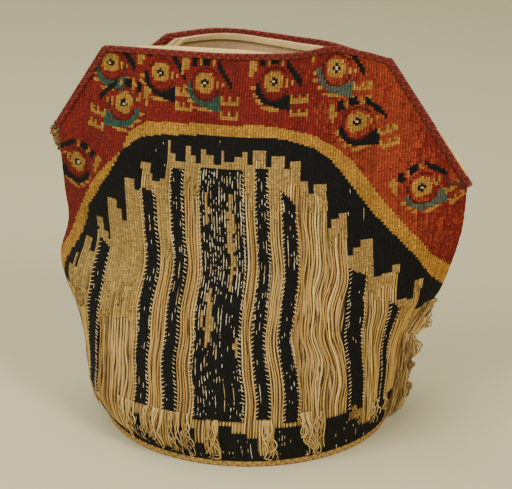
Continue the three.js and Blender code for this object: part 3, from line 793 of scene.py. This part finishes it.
# The strip lies between the upper edge and a line its width below it, both lifted by the rise
def hemStrip(name, side, riseUp, node):
    h, c = hem, capSizes
    crown = c["rightCornerHeight"] - c["rightTipHeight"]
    along = np.linspace(0.0, 3.0, h["stations"])[:, None]
    rise = np.interp(along, *riseUp) * mm
    edge = upperEdge(along, 0.0, rise / crown)
    low = upperEdge(along, h["width"] / c["rightCorner"], (rise - h["width"]) / crown)
    start = c["panelWall"] + c["fitGap"] + c["liningWall"] + h["gap"]
    drift = h["puckerBend"] * np.sin(along * h["puckerDrift"])

    def leaf(up, through):   # the profile mixed between the strip's foot and its edge, with slight puckers
        up, through = np.array(up)[None, :], np.array(through)[None, :]
        pucker = h["pucker"] * np.sin(along * h["puckers"] + drift) * np.sin(up * np.pi)
        return clothPoint(side, mix(low[0], edge[0], up), mix(low[1], edge[1], up),
                          start + through * c["hemWall"] + pucker)

    outer, inner = leaf(h["outerUp"], h["outerThrough"]), leaf(h["innerUp"], h["innerThrough"])
    uv = (along * h["threads"][0], np.arange(len(h["outerUp"]))[None, :] * h["threads"][1])
    return sheetPiece(name, outer, inner, uv, hemCotton, h["colour"], node, flip=side == "back")


frontHem = hemStrip("hem_front", "front", hem["frontRise"], "front_hem")
backHem = hemStrip("hem_back", "back", hem["backRise"], "back_hem")
print("hems done")

# Plaits: three strands over a core. colours are the three strands' and the core's; the core's dark colour is
# painted shade, for the gaps between the strands where the core shows
edging = {"width": 4.2 * mm, "thickness": 2.1 * mm, "strand": 0.92 * mm, "core": 0.7 * mm, "lift": 0.5 * mm,
          "plaitLength": 5.6 * mm, "stations": 700, "coarseStations": 400, "smoothing": 6, "sides": 6,
          "overlap": 1.2 * mm, "standOff": 1.4 * mm, "unitV": 1.3 * mm,
          "colours": ((118, 30, 24), (96, 22, 18), (134, 44, 34), (56, 14, 10))}
binding = {"strand": 1.0 * mm, "core": 0.8 * mm, "lift": 0.5 * mm, "plaitLength": 5.6 * mm, "stations": 860,
           "sides": 6, "unitV": 1.5 * mm,
           "colours": ((172, 134, 66), (148, 112, 52), (186, 150, 80), (88, 62, 30))}


# Across the plait a strand lies off the path by sway times the sine of its turn, and through it by lift times
# the sine of twice the turn. The turn grows with the length, the three strands are a third of a turn apart,
# and a closed plait has a whole number of turns
def plaitPiece(name, path, acrossWay, throughWay, sway, p, facing, material, node, closed=False):
    length = np.concatenate([[0], np.cumsum(np.linalg.norm(np.diff(path, axis=0), axis=1))])
    plaitLength = p["plaitLength"]
    if closed:
        whole = length[-1] + np.linalg.norm(path[0] - path[-1])
        plaitLength = whole / round(whole / plaitLength)
    turn = 2 * np.pi * (length / plaitLength)[None, :, None] + 2 * np.pi * np.arange(3)[:, None, None] / 3
    strands = (path[None] + acrossWay[None] * sway * np.sin(turn)
               + throughWay[None] * p["lift"] * np.sin(2 * turn))
    radii = np.repeat([p["strand"]] * 3 + [p["core"]], len(path)).reshape(4, len(path))
    # the last colour, the core's, is painted shade for the gaps between the strands
    dyes = np.array([linear(*c) for c in p["colours"]])
    tubePiece(name, np.concatenate([strands, path[None]]), radii, p["sides"], facing, material, dyes,
              p["unitV"], node, loop=closed)


# The edging's path: the cloth's upper edge, with stations spread evenly over its length, moved outwards by
# half the width less the overlap, and kept clear of the other side's plait where the seam is near
def edgingPlait(name, side, node):
    e, c = edging, capSizes
    out = panelSides[side]["out"]
    coarse = np.linspace(0, 3, e["coarseStations"])
    edge = clothPoint(side, *upperEdge(coarse))
    walked = np.concatenate([[0], np.cumsum(np.linalg.norm(np.diff(edge, axis=0), axis=1))])
    along = np.interp(np.linspace(0, walked[-1], e["stations"]), walked, coarse)
    edge = clothPoint(side, *upperEdge(along))
    way = np.gradient(edge, axis=0)
    way /= np.linalg.norm(way, axis=1, keepdims=True)
    padded = np.pad(way, ((e["smoothing"], e["smoothing"]), (0, 0)), mode="edge")
    window = np.ones(2 * e["smoothing"] + 1) / (2 * e["smoothing"] + 1)
    smooth = np.stack([np.convolve(padded[:, i], window, "valid") for i in range(3)], 1)
    way = smooth / np.linalg.norm(smooth, axis=1, keepdims=True)
    forward = np.cross(way, (0, 0, 1))
    forward /= np.linalg.norm(forward, axis=1, keepdims=True)
    outward = np.cross(forward, way)
    centre = edge + forward * out * (c["panelWall"] / 2 - e["standOff"])
    clearOfSeam = c["fitGap"] + e["thickness"] / 2
    near = np.abs(edge[:, 1] - out * c["fitGap"] / 2) < c["panelWall"]
    centre[:, 1] = np.where(near, out * np.maximum(out * centre[:, 1], clearOfSeam), centre[:, 1])
    centre = centre + outward * (e["width"] / 2 - e["overlap"])
    plaitPiece(name, centre, outward, forward, e["width"] / 2 - e["strand"], e, (0, 0.2, 1), edgingWool,
               node)


edgingPlait("edging_front", "front", "front_edging")
edgingPlait("edging_back", "back", "back_edging")


# Binding: a plait round the ellipse of the lower edge, standing on the floor
def bindingPlait():
    b, c = binding, capSizes
    turn = np.arange(b["stations"]) * 2 * np.pi / b["stations"]
    halfWidth = (c["openingWidth"] - c["panelWall"]) / 2
    halfDepth = (c["openingDepth"] - c["panelWall"] + c["fitGap"]) / 2
    height = (bindingHigh.z - bindingLow.z) / 2
    path = np.stack([middleX + halfWidth * np.cos(turn), halfDepth * np.sin(turn), 0 * turn + height], -1)
    outward = np.stack([np.cos(turn), np.sin(turn), 0 * turn], -1)
    upward = np.broadcast_to([0.0, 0.0, 1.0], path.shape)
    plaitPiece("binding_plait", path, upward, outward, height - b["strand"], b, (0, 0, 1), bindingWool,
               "base_binding", closed=True)


bindingPlait()
print("plaits done")

# Bare warps: a cotton strand for each run of lost weft, let into the cloth at both ends, and a layer of
# strands behind in dark brown, which is painted shade for the gaps between the front strands. Where the
# warps are slack they swing in groups. A wave is its share, its length up and its length across in mm;
# lengths are the shortest, the longest and the points of a strand
bareWarp = {"radius": 0.52 * mm, "inset": 1.15 * mm, "letIn": 2.6 * mm, "sides": 5, "spread": 0.1,
            "colours": ((214, 177, 100), (199, 158, 84), (224, 193, 120), (180, 138, 68), (206, 168, 92)),
            # the layer behind is dark brown as painted shade for the gaps between the strands
            "underRadius": 0.46 * mm, "underInset": 1.75 * mm, "underShadeColours": ((88, 60, 32), (110, 78, 42)),
            "slackU": 42, "slackWide": 17, "slack": 1.0, "taut": 0.32, "rightSlack": 0.35, "rightFrom": 92,
            "own": 0.55 * mm, "shared": 1.5 * mm, "underOwn": 1.1 * mm, "underShared": 0.7 * mm,
            "lengths": ((0, 14 * mm, 6), (14 * mm, 50 * mm, 18), (50 * mm, 1, 46)), "fullSwing": 40 * mm,
            "groupBend": (0.7, 8, 7, 0.9), "groupWaves": ((1.0, 15, 11), (0.5, 4.7, 5)),
            "ownWaves": ((0.45, 5.2), (1.0, 12), (0.3, 2.7)), "depthWave": (0.4, 8), "swell": (0.14, 3.1),
            "thickness": (0.85, 1.12), "offRib": 0.3, "underFrom": 16 * mm, "edgeRoom": 1 * mm}


# Runs of lost weft along the ribs, where a row is gone and its neighbour isn't: rib, first and last height
def lostRuns(kept, below, rows):
    gone = np.pad((~kept & below).astype(int), ((0, 0), (1, 1)))
    change = np.diff(gone, axis=1)
    rib, first = np.nonzero(change == 1)
    last = np.nonzero(change == -1)[1]
    return rib, rows[first], rows[last]


# Strands from low to high at a place: each swings by sines of its height, shared ones that neighbours follow
# and its own, both fading to nothing at its ends
def warpStrands(name, place, low, high, own, shared, radius, inset, colours):
    w, c = bareWarp, capSizes
    length = high - low
    parts, offset = [], 0
    for shortest, longest, count in w["lengths"]:
        pick = (length > shortest) & (length <= longest)
        tubes = int(pick.sum())
        if tubes == 0:
            continue
        t = np.linspace(0, 1, count)[None, :]
        z = mix(low[pick, None], high[pick, None], t)
        u = place[pick, None] + 0 * t
        phase = dice.uniform(0, 2 * np.pi, (4, tubes, 1))
        ends = np.clip(np.sin(np.pi * t), 0, 1) ** 0.6 * np.minimum(1, length[pick, None] / w["fullSwing"])
        share, tall, wide, bend = w["groupBend"]
        together = share * np.sin(z / (tall * mm) + bend * np.sin(u / (wide * mm)))
        for share, tall, wide in w["groupWaves"]:
            together = together + share * np.sin(z / (tall * mm) + u / (wide * mm))
        alone = sum(share * np.sin(z / (tall * mm) + phase[i])
                    for i, (share, tall) in enumerate(w["ownWaves"]))
        u = u + ends * (shared[pick, None] * together + own[pick, None] * alone)
        deep = inset + ends * w["depthWave"][0] * mm * np.sin(z / (w["depthWave"][1] * mm) + phase[3])
        side = c["halfGirth"] - w["edgeRoom"]
        paths = chartPoint("front", np.clip(u, -side, side), z, deep)
        swell = 1 + w["swell"][0] * np.sin(z / (w["swell"][1] * mm) + phase[1])
        radii = radius * swell * dice.uniform(*w["thickness"], (tubes, 1))
        points, faces = tubeSet(paths, radii, w["sides"], (0, 1, 0))
        shade = np.repeat(strandDyes(tubes, colours, w["spread"]), len(faces) // tubes, axis=0)
        parts.append((points.reshape(-1, 3), np.where(faces < 0, -1, faces + offset),
                      tubeUv(paths, w["sides"], 1.1 * mm).reshape(-1, 2), shade))
        offset += points.size // 3
    points, faces, uv, shade = (np.concatenate(part) for part in zip(*parts))
    meshPiece(name, points, faces, warpCotton, uv, shade, sharp=0)


# How loose a warp is: taut, plus a hump of slack round slackU, which is e to the power of minus the fourth
# power of the distance over slackWide
def bareWarps():
    w = bareWarp
    rib, low, high = lostRuns(frontKept, frontBelow, frontRows)
    u = ribU[rib, 0]
    place = u * mm + dice.uniform(-w["offRib"], w["offRib"], len(rib)) * mm
    loose = w["taut"] + (w["slack"] - w["taut"]) * np.exp(-((u - w["slackU"]) / w["slackWide"]) ** 4)
    loose += w["rightSlack"] * (u > w["rightFrom"])
    low, high = low - w["letIn"], high + w["letIn"]
    warpStrands("bare_warps", place, low, high, w["own"] * loose, w["shared"] * loose, w["radius"],
                w["inset"], w["colours"])
    # the layer behind: dark strands standing in for the shade between the front strands
    long = high - low > w["underFrom"]
    place, low, high, loose = place[long] + weave["rib"] / 2, low[long], high[long], loose[long]
    warpStrands("bare_warps_under", place, low, high, w["underOwn"] * loose, w["underShared"] * loose,
                w["underRadius"], w["underInset"], w["underShadeColours"])


bareWarps()
print("bare warps done")

# Loose ends: strands of the lower border that hang over its black blocks and curl. A row for each lock: u,
# half its width, count, the height it starts at, its length and how far it drifts, in mm
looseLocks = [(-104, 5, 9, 26, 18, -2), (-74, 5, 14, 32, 25, 2), (-56, 6, 18, 32, 24, -2),
              (-42, 6, 16, 32, 28, 3), (-22, 4, 11, 30, 26, 1), (8, 3, 12, 30, 27, 3),
              (31, 3.5, 16, 33, 30, 5), (40, 4, 8, 32, 16, -2), (62, 4, 6, 30, 12, 3),
              (82, 4, 9, 26, 15, -3), (97, 4, 8, 26, 13, 3)]
looseEnd = {"radius": 0.45 * mm, "points": 22, "sides": 5, "curl": 2.2 * mm, "turns": 7, "kinks": 11,
            "kink": 0.4, "standOff": 1.5 * mm, "inset": 0.3 * mm, "footRoom": 1 * mm, "sizes": (0.5, 1.1),
            "curls": (0.6, 1.5), "lifts": (0.3, 1.2), "liftWave": 0.5, "thickness": (0.7, 1.1),
            "taper": (1.1, 0.5), "spread": 0.1,
            "colours": ((212, 176, 106), (194, 154, 86), (224, 194, 132), (172, 134, 72))}


# A loose end falls straight by its length; the curl adds a sine across and a cosine up of a turn that grows
# with the share t of its length, and it stands off the cloth as t grows
def looseEnds():
    f, locks = looseEnd, np.array(looseLocks)
    lock = np.repeat(np.arange(len(locks)), locks[:, 2].astype(int))
    middle, half, _, top, length, drift = (locks[lock, i, None] for i in range(6))
    n = len(lock)
    t = np.linspace(0, 1, f["points"])[None, :]
    phase = dice.uniform(0, 2 * np.pi, (2, n, 1))
    size = dice.uniform(*f["sizes"], (n, 1))
    turn = f["turns"] * t ** 1.5 * dice.uniform(*f["curls"], (n, 1)) + phase[0]
    u = (middle + half * dice.uniform(-1, 1, (n, 1)) + drift * t * size) * mm
    u = u + f["curl"] * t * (np.sin(turn) + f["kink"] * np.sin(f["kinks"] * t + phase[1]))
    z = (top - length * size * t) * mm + f["curl"] * t ** 2 * np.cos(turn)
    lift = f["standOff"] * t ** 0.7 * dice.uniform(*f["lifts"], (n, 1)) * (1 + f["liftWave"] * np.sin(turn))
    paths = chartPoint("front", u, np.maximum(z, capSizes["foot"] + f["footRoom"]), f["inset"] - lift)
    radii = f["radius"] * (f["taper"][0] - f["taper"][1] * t) * dice.uniform(*f["thickness"], (n, 1))
    tubePiece("loose_ends", paths, radii, f["sides"], (0, 1, 0.1), warpCotton,
              strandDyes(n, f["colours"], f["spread"]))


looseEnds()

# Seed stitches: short slanting cream stitches down both edges of each black stripe but the first. A stitch
# falls as it goes outwards, and a cosine lifts its middle
stitch = {"spacing": 2.3 * mm, "length": 2.0 * mm, "radius": 0.26 * mm, "taper": (0.4, 1.0, 1.0, 0.4),
          "fall": 1.1 * mm, "lift": 0.3 * mm, "standOff": 0.15 * mm, "fromEdge": 0.25 * mm, "uneven": 0.4,
          "unevenLength": 0.2, "spread": 0.08, "colours": ((246, 222, 164), (232, 200, 136))}


def seedStitches():
    f = stitch
    us, zs, ways = [], [], []
    for left, right, foot, head, fall in blackStripes[1:]:
        for edge, way, top in ((left, -1, head), (right, 1, head - fall)):
            z = np.arange(foot + 2, top - 1, f["spacing"] / mm)
            us.append(np.full(len(z), edge))
            zs.append(z + dice.uniform(-f["uneven"], f["uneven"], len(z)))
            ways.append(np.full(len(z), way))
    u, z, way = (np.concatenate(v)[:, None] for v in (us, zs, ways))
    t = np.linspace(-0.5, 0.5, len(f["taper"]))[None, :]
    along = f["length"] * (1 + f["unevenLength"] * dice.standard_normal((len(u), 1))) * t
    lift = f["lift"] * np.cos(np.pi * t)
    paths = chartPoint("front", u * mm - way * f["fromEdge"] + way * along, z * mm - f["fall"] * t,
                       -f["standOff"] - lift)
    radii = f["radius"] * np.array(f["taper"])[None, :] * np.ones((len(u), 1))
    tubePiece("seed_stitches", paths, radii, 4, (0, 0, 1), warpCotton,
              strandDyes(len(u), f["colours"], f["spread"]), 1 * mm)


seedStitches()
print("stitches done")

# Warps laid bare in the black: dashes along the ribs. A row for each worn place: u, z, half width, half
# height, and the share of the ribs that shows
wornPlaces = [(-19, 134, 15, 34, 0.6), (-25, 80, 8, 30, 0.3), (-8, 90, 4, 30, 0.12),
              (-47, 125, 4.5, 42, 0.12), (5.5, 122, 4.5, 42, 0.2), (22, 110, 5, 42, 0.07),
              (-65, 90, 5, 45, 0.08), (-40, 14, 7, 9, 0.4),
              (-30, 40, 4, 9, 0.3), (-15, 36, 10, 6, 0.12), (64, 80, 6, 30, 0.05), (52, 18, 8, 8, 0.08),
              (-8, 14, 8, 8, 0.12), (22, 16, 8, 8, 0.12), (-30, 178, 30, 4, 0.03), (60, 140, 12, 18, 0.02),
              (-70, 17, 6, 8, 0.4), (22, 45, 5, 18, 0.15), (89, 60, 4, 25, 0.05), (-19, 98, 14, 68, 0.16),
              (-47, 98, 4, 66, 0.08), (5.5, 98, 4, 66, 0.08), (22, 90, 5, 60, 0.06), (-65, 90, 5, 58, 0.06),
              (-97, 70, 4, 45, 0.05), (0, 14, 120, 9, 0.03), (-30, 165, 50, 12, 0.03)]
dash = {"radius": 0.27 * mm, "taper": (0.4, 0.95, 1, 0.95, 0.4), "shortest": 1.2 * mm, "usual": 3.6 * mm,
        "longest": 18 * mm, "crowding": 1.7, "inset": 0.12 * mm, "lift": 0.2 * mm, "offRib": 0.2,
        "lengthShare": 0.7, "thickness": (0.75, 1.1), "spread": 0.08,
        "colours": ((232, 220, 186), (218, 196, 148), (240, 230, 200), (206, 170, 108))}


# Dashes to a place: its area times its share and the crowding, over a rib times the usual length. Only those
# stay whose middle and ends lie in black weft
def exposedWarps():
    f, ribs, middles = dash, [], []
    for u, z, halfWide, halfTall, share in wornPlaces:
        area = 4 * halfWide * halfTall * share * f["crowding"] * mm * mm
        count = int(area / (weave["rib"] * f["usual"]))
        rib = (u + halfWide * dice.uniform(-1, 1, count)) * mm + capSizes["halfGirth"]
        ribs.append((rib / weave["rib"]).astype(int))
        middles.append((z + halfTall * dice.uniform(-1, 1, count)) * mm)
    rib, middle = np.concatenate(ribs), np.concatenate(middles)
    length = f["shortest"] + dice.exponential(f["usual"] * f["lengthShare"], len(rib))
    half = np.clip(length, 0, f["longest"]) / 2

    def isBlack(z):
        row = np.clip(np.searchsorted(frontRows, z) - 1, 0, frontChart.shape[1] - 1)
        return frontKept[rib, row] & (frontChart[rib, row] == dyeOf["black"])

    pick = isBlack(middle) & isBlack(middle - half) & isBlack(middle + half)
    rib, middle, half = rib[pick, None], middle[pick, None], half[pick, None]
    t = np.linspace(-1, 1, len(f["taper"]))[None, :]
    u = ribU[rib[:, 0]] * mm + dice.uniform(-f["offRib"], f["offRib"], rib.shape) * mm
    paths = chartPoint("front", u + 0 * t, middle + half * t, f["inset"] - f["lift"] * np.cos(t * np.pi / 2))
    radii = f["radius"] * np.array(f["taper"])[None, :] * dice.uniform(*f["thickness"], rib.shape)
    tubePiece("exposed_warps", paths, radii, 4, (0, 1, 0), warpCotton,
              strandDyes(len(rib), f["colours"], f["spread"]))


exposedWarps()
print("exposed warps done")

# Frayed warps: a ragged rag of warps at the right side, standing off the cloth, with loose strands over it
# and a fringe at its edge. standOff is how far, in mm, the rag's outer edge stands off, from its top (0) to
# its foot (1). Crumples are a height in mm, waves down the rag, and how far out shifts them; ragged and
# ridges are a height, waves, and the size and count of the waves that bend them
fray = {"from": 0.868, "to": 0.987, "top": 0.515, "bottom": 0.005, "wall": 0.9 * mm, "columns": 26,
        "rows": 90,
        "standOff": np.array([(0, 1), (0.08, 2), (0.15, 4.5), (0.21, 8.5), (0.25, 8), (0.31, 4), (0.38, 5),
                              (0.46, 7), (0.52, 4), (0.6, 5), (0.68, 4), (0.78, 7), (0.88, 8), (1, 6.5)]),
        "crumples": ((0.7, 34, 5), (0.5, 71, -9)), "ragged": (0.9, 160, 1.5, 47), "gap": 0.4 * mm,
        "edgeDrift": (0.004, 23), "ridges": (0.16, 60, 3, 9), "threads": (18, 60),
        "colour": (150, 116, 66), "sides": 5, "spread": 0.12,
        "colours": ((214, 180, 110), (190, 152, 86), (226, 198, 134), (156, 122, 68), (112, 84, 50))}
frayStrand = {"count": 150, "points": 24, "radius": 0.42 * mm, "drift": (-0.25, 0.25), "top": (-0.02, 0.3),
              "bottom": (0.5, 1.02), "waves": ((0.05, 9), (0.02, 25)), "outermost": 1.03, "lift": (0.2, 1.2),
              "liftWaves": 7, "taper": (1.1, 0.5), "thickness": (0.7, 1.2)}
frayFringe = {"count": 300, "points": 6, "radius": 0.26 * mm, "fall": (0.0, 0.07), "from": (0.55, 1.0),
              "reach": (0.0, 0.06), "outermost": 1.04, "lift": (-0.2, 2.6), "taper": (1.1, 0.7)}


# Point of the rag: out runs from its sewn edge to its free one, down from top to foot. It stands off by the
# table's reach times a power of out, plus the crumples and the ragged edge
def frayPoint(out, down, extra=0.0):
    f = fray
    reach = follow(f["standOff"], 1, down) * mm
    (deep, waves, bend), (fineDeep, fineWaves, fineBend) = f["crumples"]
    crumple = (deep * mm * np.sin(down * waves + bend * out)
               + fineDeep * mm * np.sin(down * fineWaves + fineBend * out)) * out
    deep, waves, bend, bendWaves = f["ragged"]
    ragged = deep * mm * np.sin(down * waves + bend * np.sin(down * bendWaves)) * out ** 3
    off = f["gap"] + reach * out ** 1.3 + crumple + ragged
    place = mix(f["from"], f["to"], out ** 0.8) + f["edgeDrift"][0] * np.sin(down * f["edgeDrift"][1])
    return clothPoint("front", place, mix(f["top"], f["bottom"], down), -(off + extra))


# The rag: two layers a wall apart, the outer one ridged by a sine of out that a sine of down bends
def frayedRag():
    f = fray
    out = np.linspace(0, 1, f["columns"])[None, :]
    down = np.linspace(1, 0, f["rows"])[:, None]
    deep, waves, bend, bendWaves = f["ridges"]
    ridges = deep * mm * np.sin(out * waves + bend * np.sin(down * bendWaves))
    return sheetPiece("frayed_rag", frayPoint(out, down, ridges), frayPoint(out, down, -f["wall"]),
                      (out * f["threads"][0], down * f["threads"][1]), warpCotton, f["colour"],
                      "frayed_warps")


# Strands drift over the rag from a random start with two sines; the fringe is short, at the free edge
def frayedStrands():
    f, n = frayStrand, frayStrand["count"]
    t = np.linspace(0, 1, f["points"])[None, :]
    start, drift = dice.uniform(0, 1, (n, 1)), dice.uniform(*f["drift"], (n, 1))
    top, bottom = dice.uniform(*f["top"], (n, 1)), dice.uniform(*f["bottom"], (n, 1))
    phase = dice.uniform(0, 2 * np.pi, (3, n, 1))
    out = start + drift * t
    for i, (share, waves) in enumerate(f["waves"]):
        out = out + share * np.sin(t * waves + phase[i])
    lift = dice.uniform(*f["lift"], (n, 1)) * mm * (1 + np.sin(t * f["liftWaves"] + phase[2]))
    long = frayPoint(np.clip(out, 0, f["outermost"]), np.clip(mix(top, bottom, t), 0, 1), lift)
    taper = f["taper"][0] - f["taper"][1] * t
    longRadii = f["radius"] * taper * dice.uniform(*f["thickness"], (n, 1))
    f, n = frayFringe, frayFringe["count"]
    t = np.linspace(0, 1, f["points"])[None, :]
    down = np.clip(dice.uniform(0, 1, (n, 1)) + dice.uniform(*f["fall"], (n, 1)) * t, 0, 1)
    out = dice.uniform(*f["from"], (n, 1)) + dice.uniform(*f["reach"], (n, 1)) * t
    fringe = frayPoint(np.clip(out, 0, f["outermost"]), down, dice.uniform(*f["lift"], (n, 1)) * mm * t)
    fringeRadii = f["radius"] * (f["taper"][0] - f["taper"][1] * t) * np.ones((n, 1))
    for name, paths, radii in (("frayed_strands", long, longRadii), ("frayed_fringe", fringe, fringeRadii)):
        tubePiece(name, paths, radii, fray["sides"], (0, 1, 0.1), warpCotton,
                  strandDyes(len(paths), fray["colours"], fray["spread"]))


rag = frayedRag()
frayedStrands()
print("fray done")

# Torn scrap of the back's cloth that sticks out past the left tip, widths in mm from its foot to its top,
# with sines for its ragged edge, its curl and its crumples
scrap = {"low": 158 * mm, "high": 178 * mm, "widths": (0.3, 1.6, 2.2, 4.0, 3.4, 5.2, 6.0, 4.2, 2.0),
         "columns": 14, "rows": 40, "wall": 1.0 * mm, "inward": 5 * mm, "ragged": (0.9, 60, 2, 23),
         "behind": 1.0 * mm, "curl": (1.4, 2.2, 5), "crumple": (0.25, 90, 9), "threads": (8, 14),
         "spread": 0.2,
         "colours": ((124, 92, 52), (96, 36, 24), (150, 112, 60), (70, 50, 34), (178, 150, 100))}


# x runs from inside the seam to the width beyond it, and y is a sine that grows outwards plus the crumple
def tornScrap():
    f = scrap
    rise = np.linspace(0, 1, f["rows"])[:, None]
    out = np.linspace(0, 1, f["columns"])[None, :]
    width = np.interp(rise, np.linspace(0, 1, len(f["widths"])), f["widths"]) * mm
    deep, waves, bend, bendWaves = f["ragged"]
    width = width + deep * mm * np.sin(rise * waves + bend * np.sin(rise * bendWaves))
    z = mix(f["low"], f["high"], rise)
    seam = clothPoint("back", -1.0, np.minimum(z / capSizes["leftTipHeight"], 1))[..., 0]
    x = seam + f["inward"] - (f["inward"] + width) * out
    curl = f["curl"][0] * np.sin(out * f["curl"][1] + rise * f["curl"][2]) * out
    crumple = f["crumple"][0] * np.sin(rise * f["crumple"][1] + out * f["crumple"][2])
    front = np.stack(np.broadcast_arrays(x, f["behind"] + (curl + crumple) * mm, z), -1)
    return sheetPiece("torn_scrap", front, front + np.array([0, f["wall"], 0]),
                      (out * f["threads"][0], rise * f["threads"][1]), backWool,
                      f["colours"], flip=True, spread=f["spread"])


scrapPiece = tornScrap()

# Cord end: at the right tip the edging turns in and lies along the fold. Its route is u and z in mm, and two
# strands wind round it half a turn apart
cordEnd = {"route": ((131, 149.5), (128, 150.6), (124, 151.2), (120, 151.6), (117, 153), (114.5, 156)),
           "points": 70, "lastU": 131.5 * mm, "radius": 0.75 * mm, "taper": 0.35, "sway": 0.45 * mm,
           "swayThrough": 0.6, "standOff": 0.5 * mm, "turnLength": 4.4 * mm,
           "colours": ((96, 24, 16), (78, 18, 14))}


# A strand is off the route by sway times the sine of its turn upwards, and by a share of the sway times the
# cosine outwards
def cordEndPiece():
    f = cordEnd
    route = np.array(f["route"]) * mm
    t = np.linspace(0, 1, f["points"])
    along = np.linspace(0, 1, len(route))
    u, z = np.interp(t, along, route[:, 0]), np.interp(t, along, route[:, 1])
    turns = (route[0, 0] - route[-1, 0]) / f["turnLength"]
    turn = t[None] * turns * 2 * np.pi + np.array([0, np.pi])[:, None]
    paths = chartPoint("front", np.minimum(u, f["lastU"])[None] + 0 * turn,
                       z[None] + f["sway"] * np.sin(turn),
                       -f["standOff"] - f["sway"] * f["swayThrough"] * np.cos(turn))
    radii = f["radius"] * (1 - f["taper"] * t)[None] * np.ones((2, 1))
    tubePiece("edging_end", paths, radii, 6, (0, 1, 0), edgingWool,
              strandDyes(2, f["colours"], 0.0), edging["unitV"])


cordEndPiece()

# Lining edge: a cream sliver that shows beyond the edging on the low half of the right slant, from there
# square outwards by the widths in mm, with a sine's wave at its edge
sliver = {"from": 0.02, "to": 0.5, "inward": 3.5 * mm,
          "outward": (0.5, 3.6, 4.3, 4.6, 4.2, 4.4, 3.9, 3.2, 0.5),
          "wall": 0.5 * mm, "stations": 60, "columns": 7, "wave": 0.25 * mm, "waves": 30, "threads": (30, 6),
          "colour": (240, 212, 150)}


# The strip follows the straight slant, and goes away from it at a right angle by the reach at its place
def liningSliver():
    f, c = sliver, capSizes
    t = np.linspace(0, 1, f["stations"])[:, None]
    out = np.linspace(0, 1, f["columns"])[None, :]
    share = mix(f["from"], f["to"], t)
    x = middleX + mix(c["rightTip"], c["rightCorner"], share)
    z = mix(c["rightTipHeight"], c["rightCornerHeight"], share)
    lean = np.array([c["rightCornerHeight"] - c["rightTipHeight"], c["rightTip"] - c["rightCorner"]])
    lean /= np.hypot(*lean)
    reach = np.interp(t, np.linspace(0, 1, len(f["outward"])), f["outward"]) * mm
    away = mix(-f["inward"], reach, out)
    y = f["wave"] * np.sin(t * f["waves"]) * out
    front = np.stack(np.broadcast_arrays(x + lean[0] * away, y - f["wall"] / 2, z + lean[1] * away), -1)
    return sheetPiece("lining_sliver", front, front + np.array([0, f["wall"], 0]),
                      (t * f["threads"][0], out * f["threads"][1]), hemCotton, f["colour"],
                      flip=True)


sliverPiece = liningSliver()
print("torn places done")

# Studio: a wide pale floor, a soft light high on the right, a wider one from the left and one from above. A
# light is its place, size, power and colour, and looks at the cap's middle height
studio = {"floorSize": 14, "floor": (216, 208, 170), "aimHeight": 0.1,
          "key": (0.95, -1.0, 1.25, 0.55, 19, (1.0, 0.94, 0.84)),
          "fill": (-1.0, -1.15, 1.25, 1.6, 29, (0.99, 0.99, 0.97)),
          "top": (-0.45, 0.4, 1.8, 1.5, 15, (1.0, 0.98, 0.92)), "sky": (200, 196, 174), "skyStrength": 0.46}


# The tilt is the angle whose tangent is the distance from the axis over the height above the aim
def areaLight(name, x, y, z, size, power, colour):
    data = bpy.data.lights.new(name, "AREA")
    data.shape, data.size, data.energy, data.color = "DISK", size, power, colour
    lamp = bpy.data.objects.new(name, data)
    lamp.location = (x, y, z)
    tilt = math.atan2(math.hypot(x, y), z - studio["aimHeight"])
    lamp.rotation_euler = (tilt, 0, math.atan2(x, -y))
    bpy.context.scene.collection.objects.link(lamp)


for lampName in ("key", "fill", "top"):
    areaLight(lampName + "_light", *studio[lampName])
world = bpy.data.worlds.new("studio_air")
bpy.context.scene.world = world
world.use_nodes = True
sky = world.node_tree.nodes["Background"]
sky.inputs[0].default_value = (*linear(*studio["sky"]), 1)
sky.inputs[1].default_value = studio["skyStrength"]

floorMaterial, *_, floorShader = newMaterial("studio_floor", 0.95, 0.0)
floorShader.inputs["Base Color"].default_value = (*linear(*studio["floor"]), 1)
half = studio["floorSize"] / 2
floorMesh = bpy.data.meshes.new("studio_floor")
floorCorners = [(-half, -half, 0), (half, -half, 0), (half, half, 0), (-half, half, 0)]
floorMesh.from_pydata(floorCorners, [], [(0, 1, 2, 3)])
floorMesh.materials.append(floorMaterial)
floor = bpy.data.objects.new("studio_floor", floorMesh)
bpy.context.scene.collection.objects.link(floor)
print("studio done")
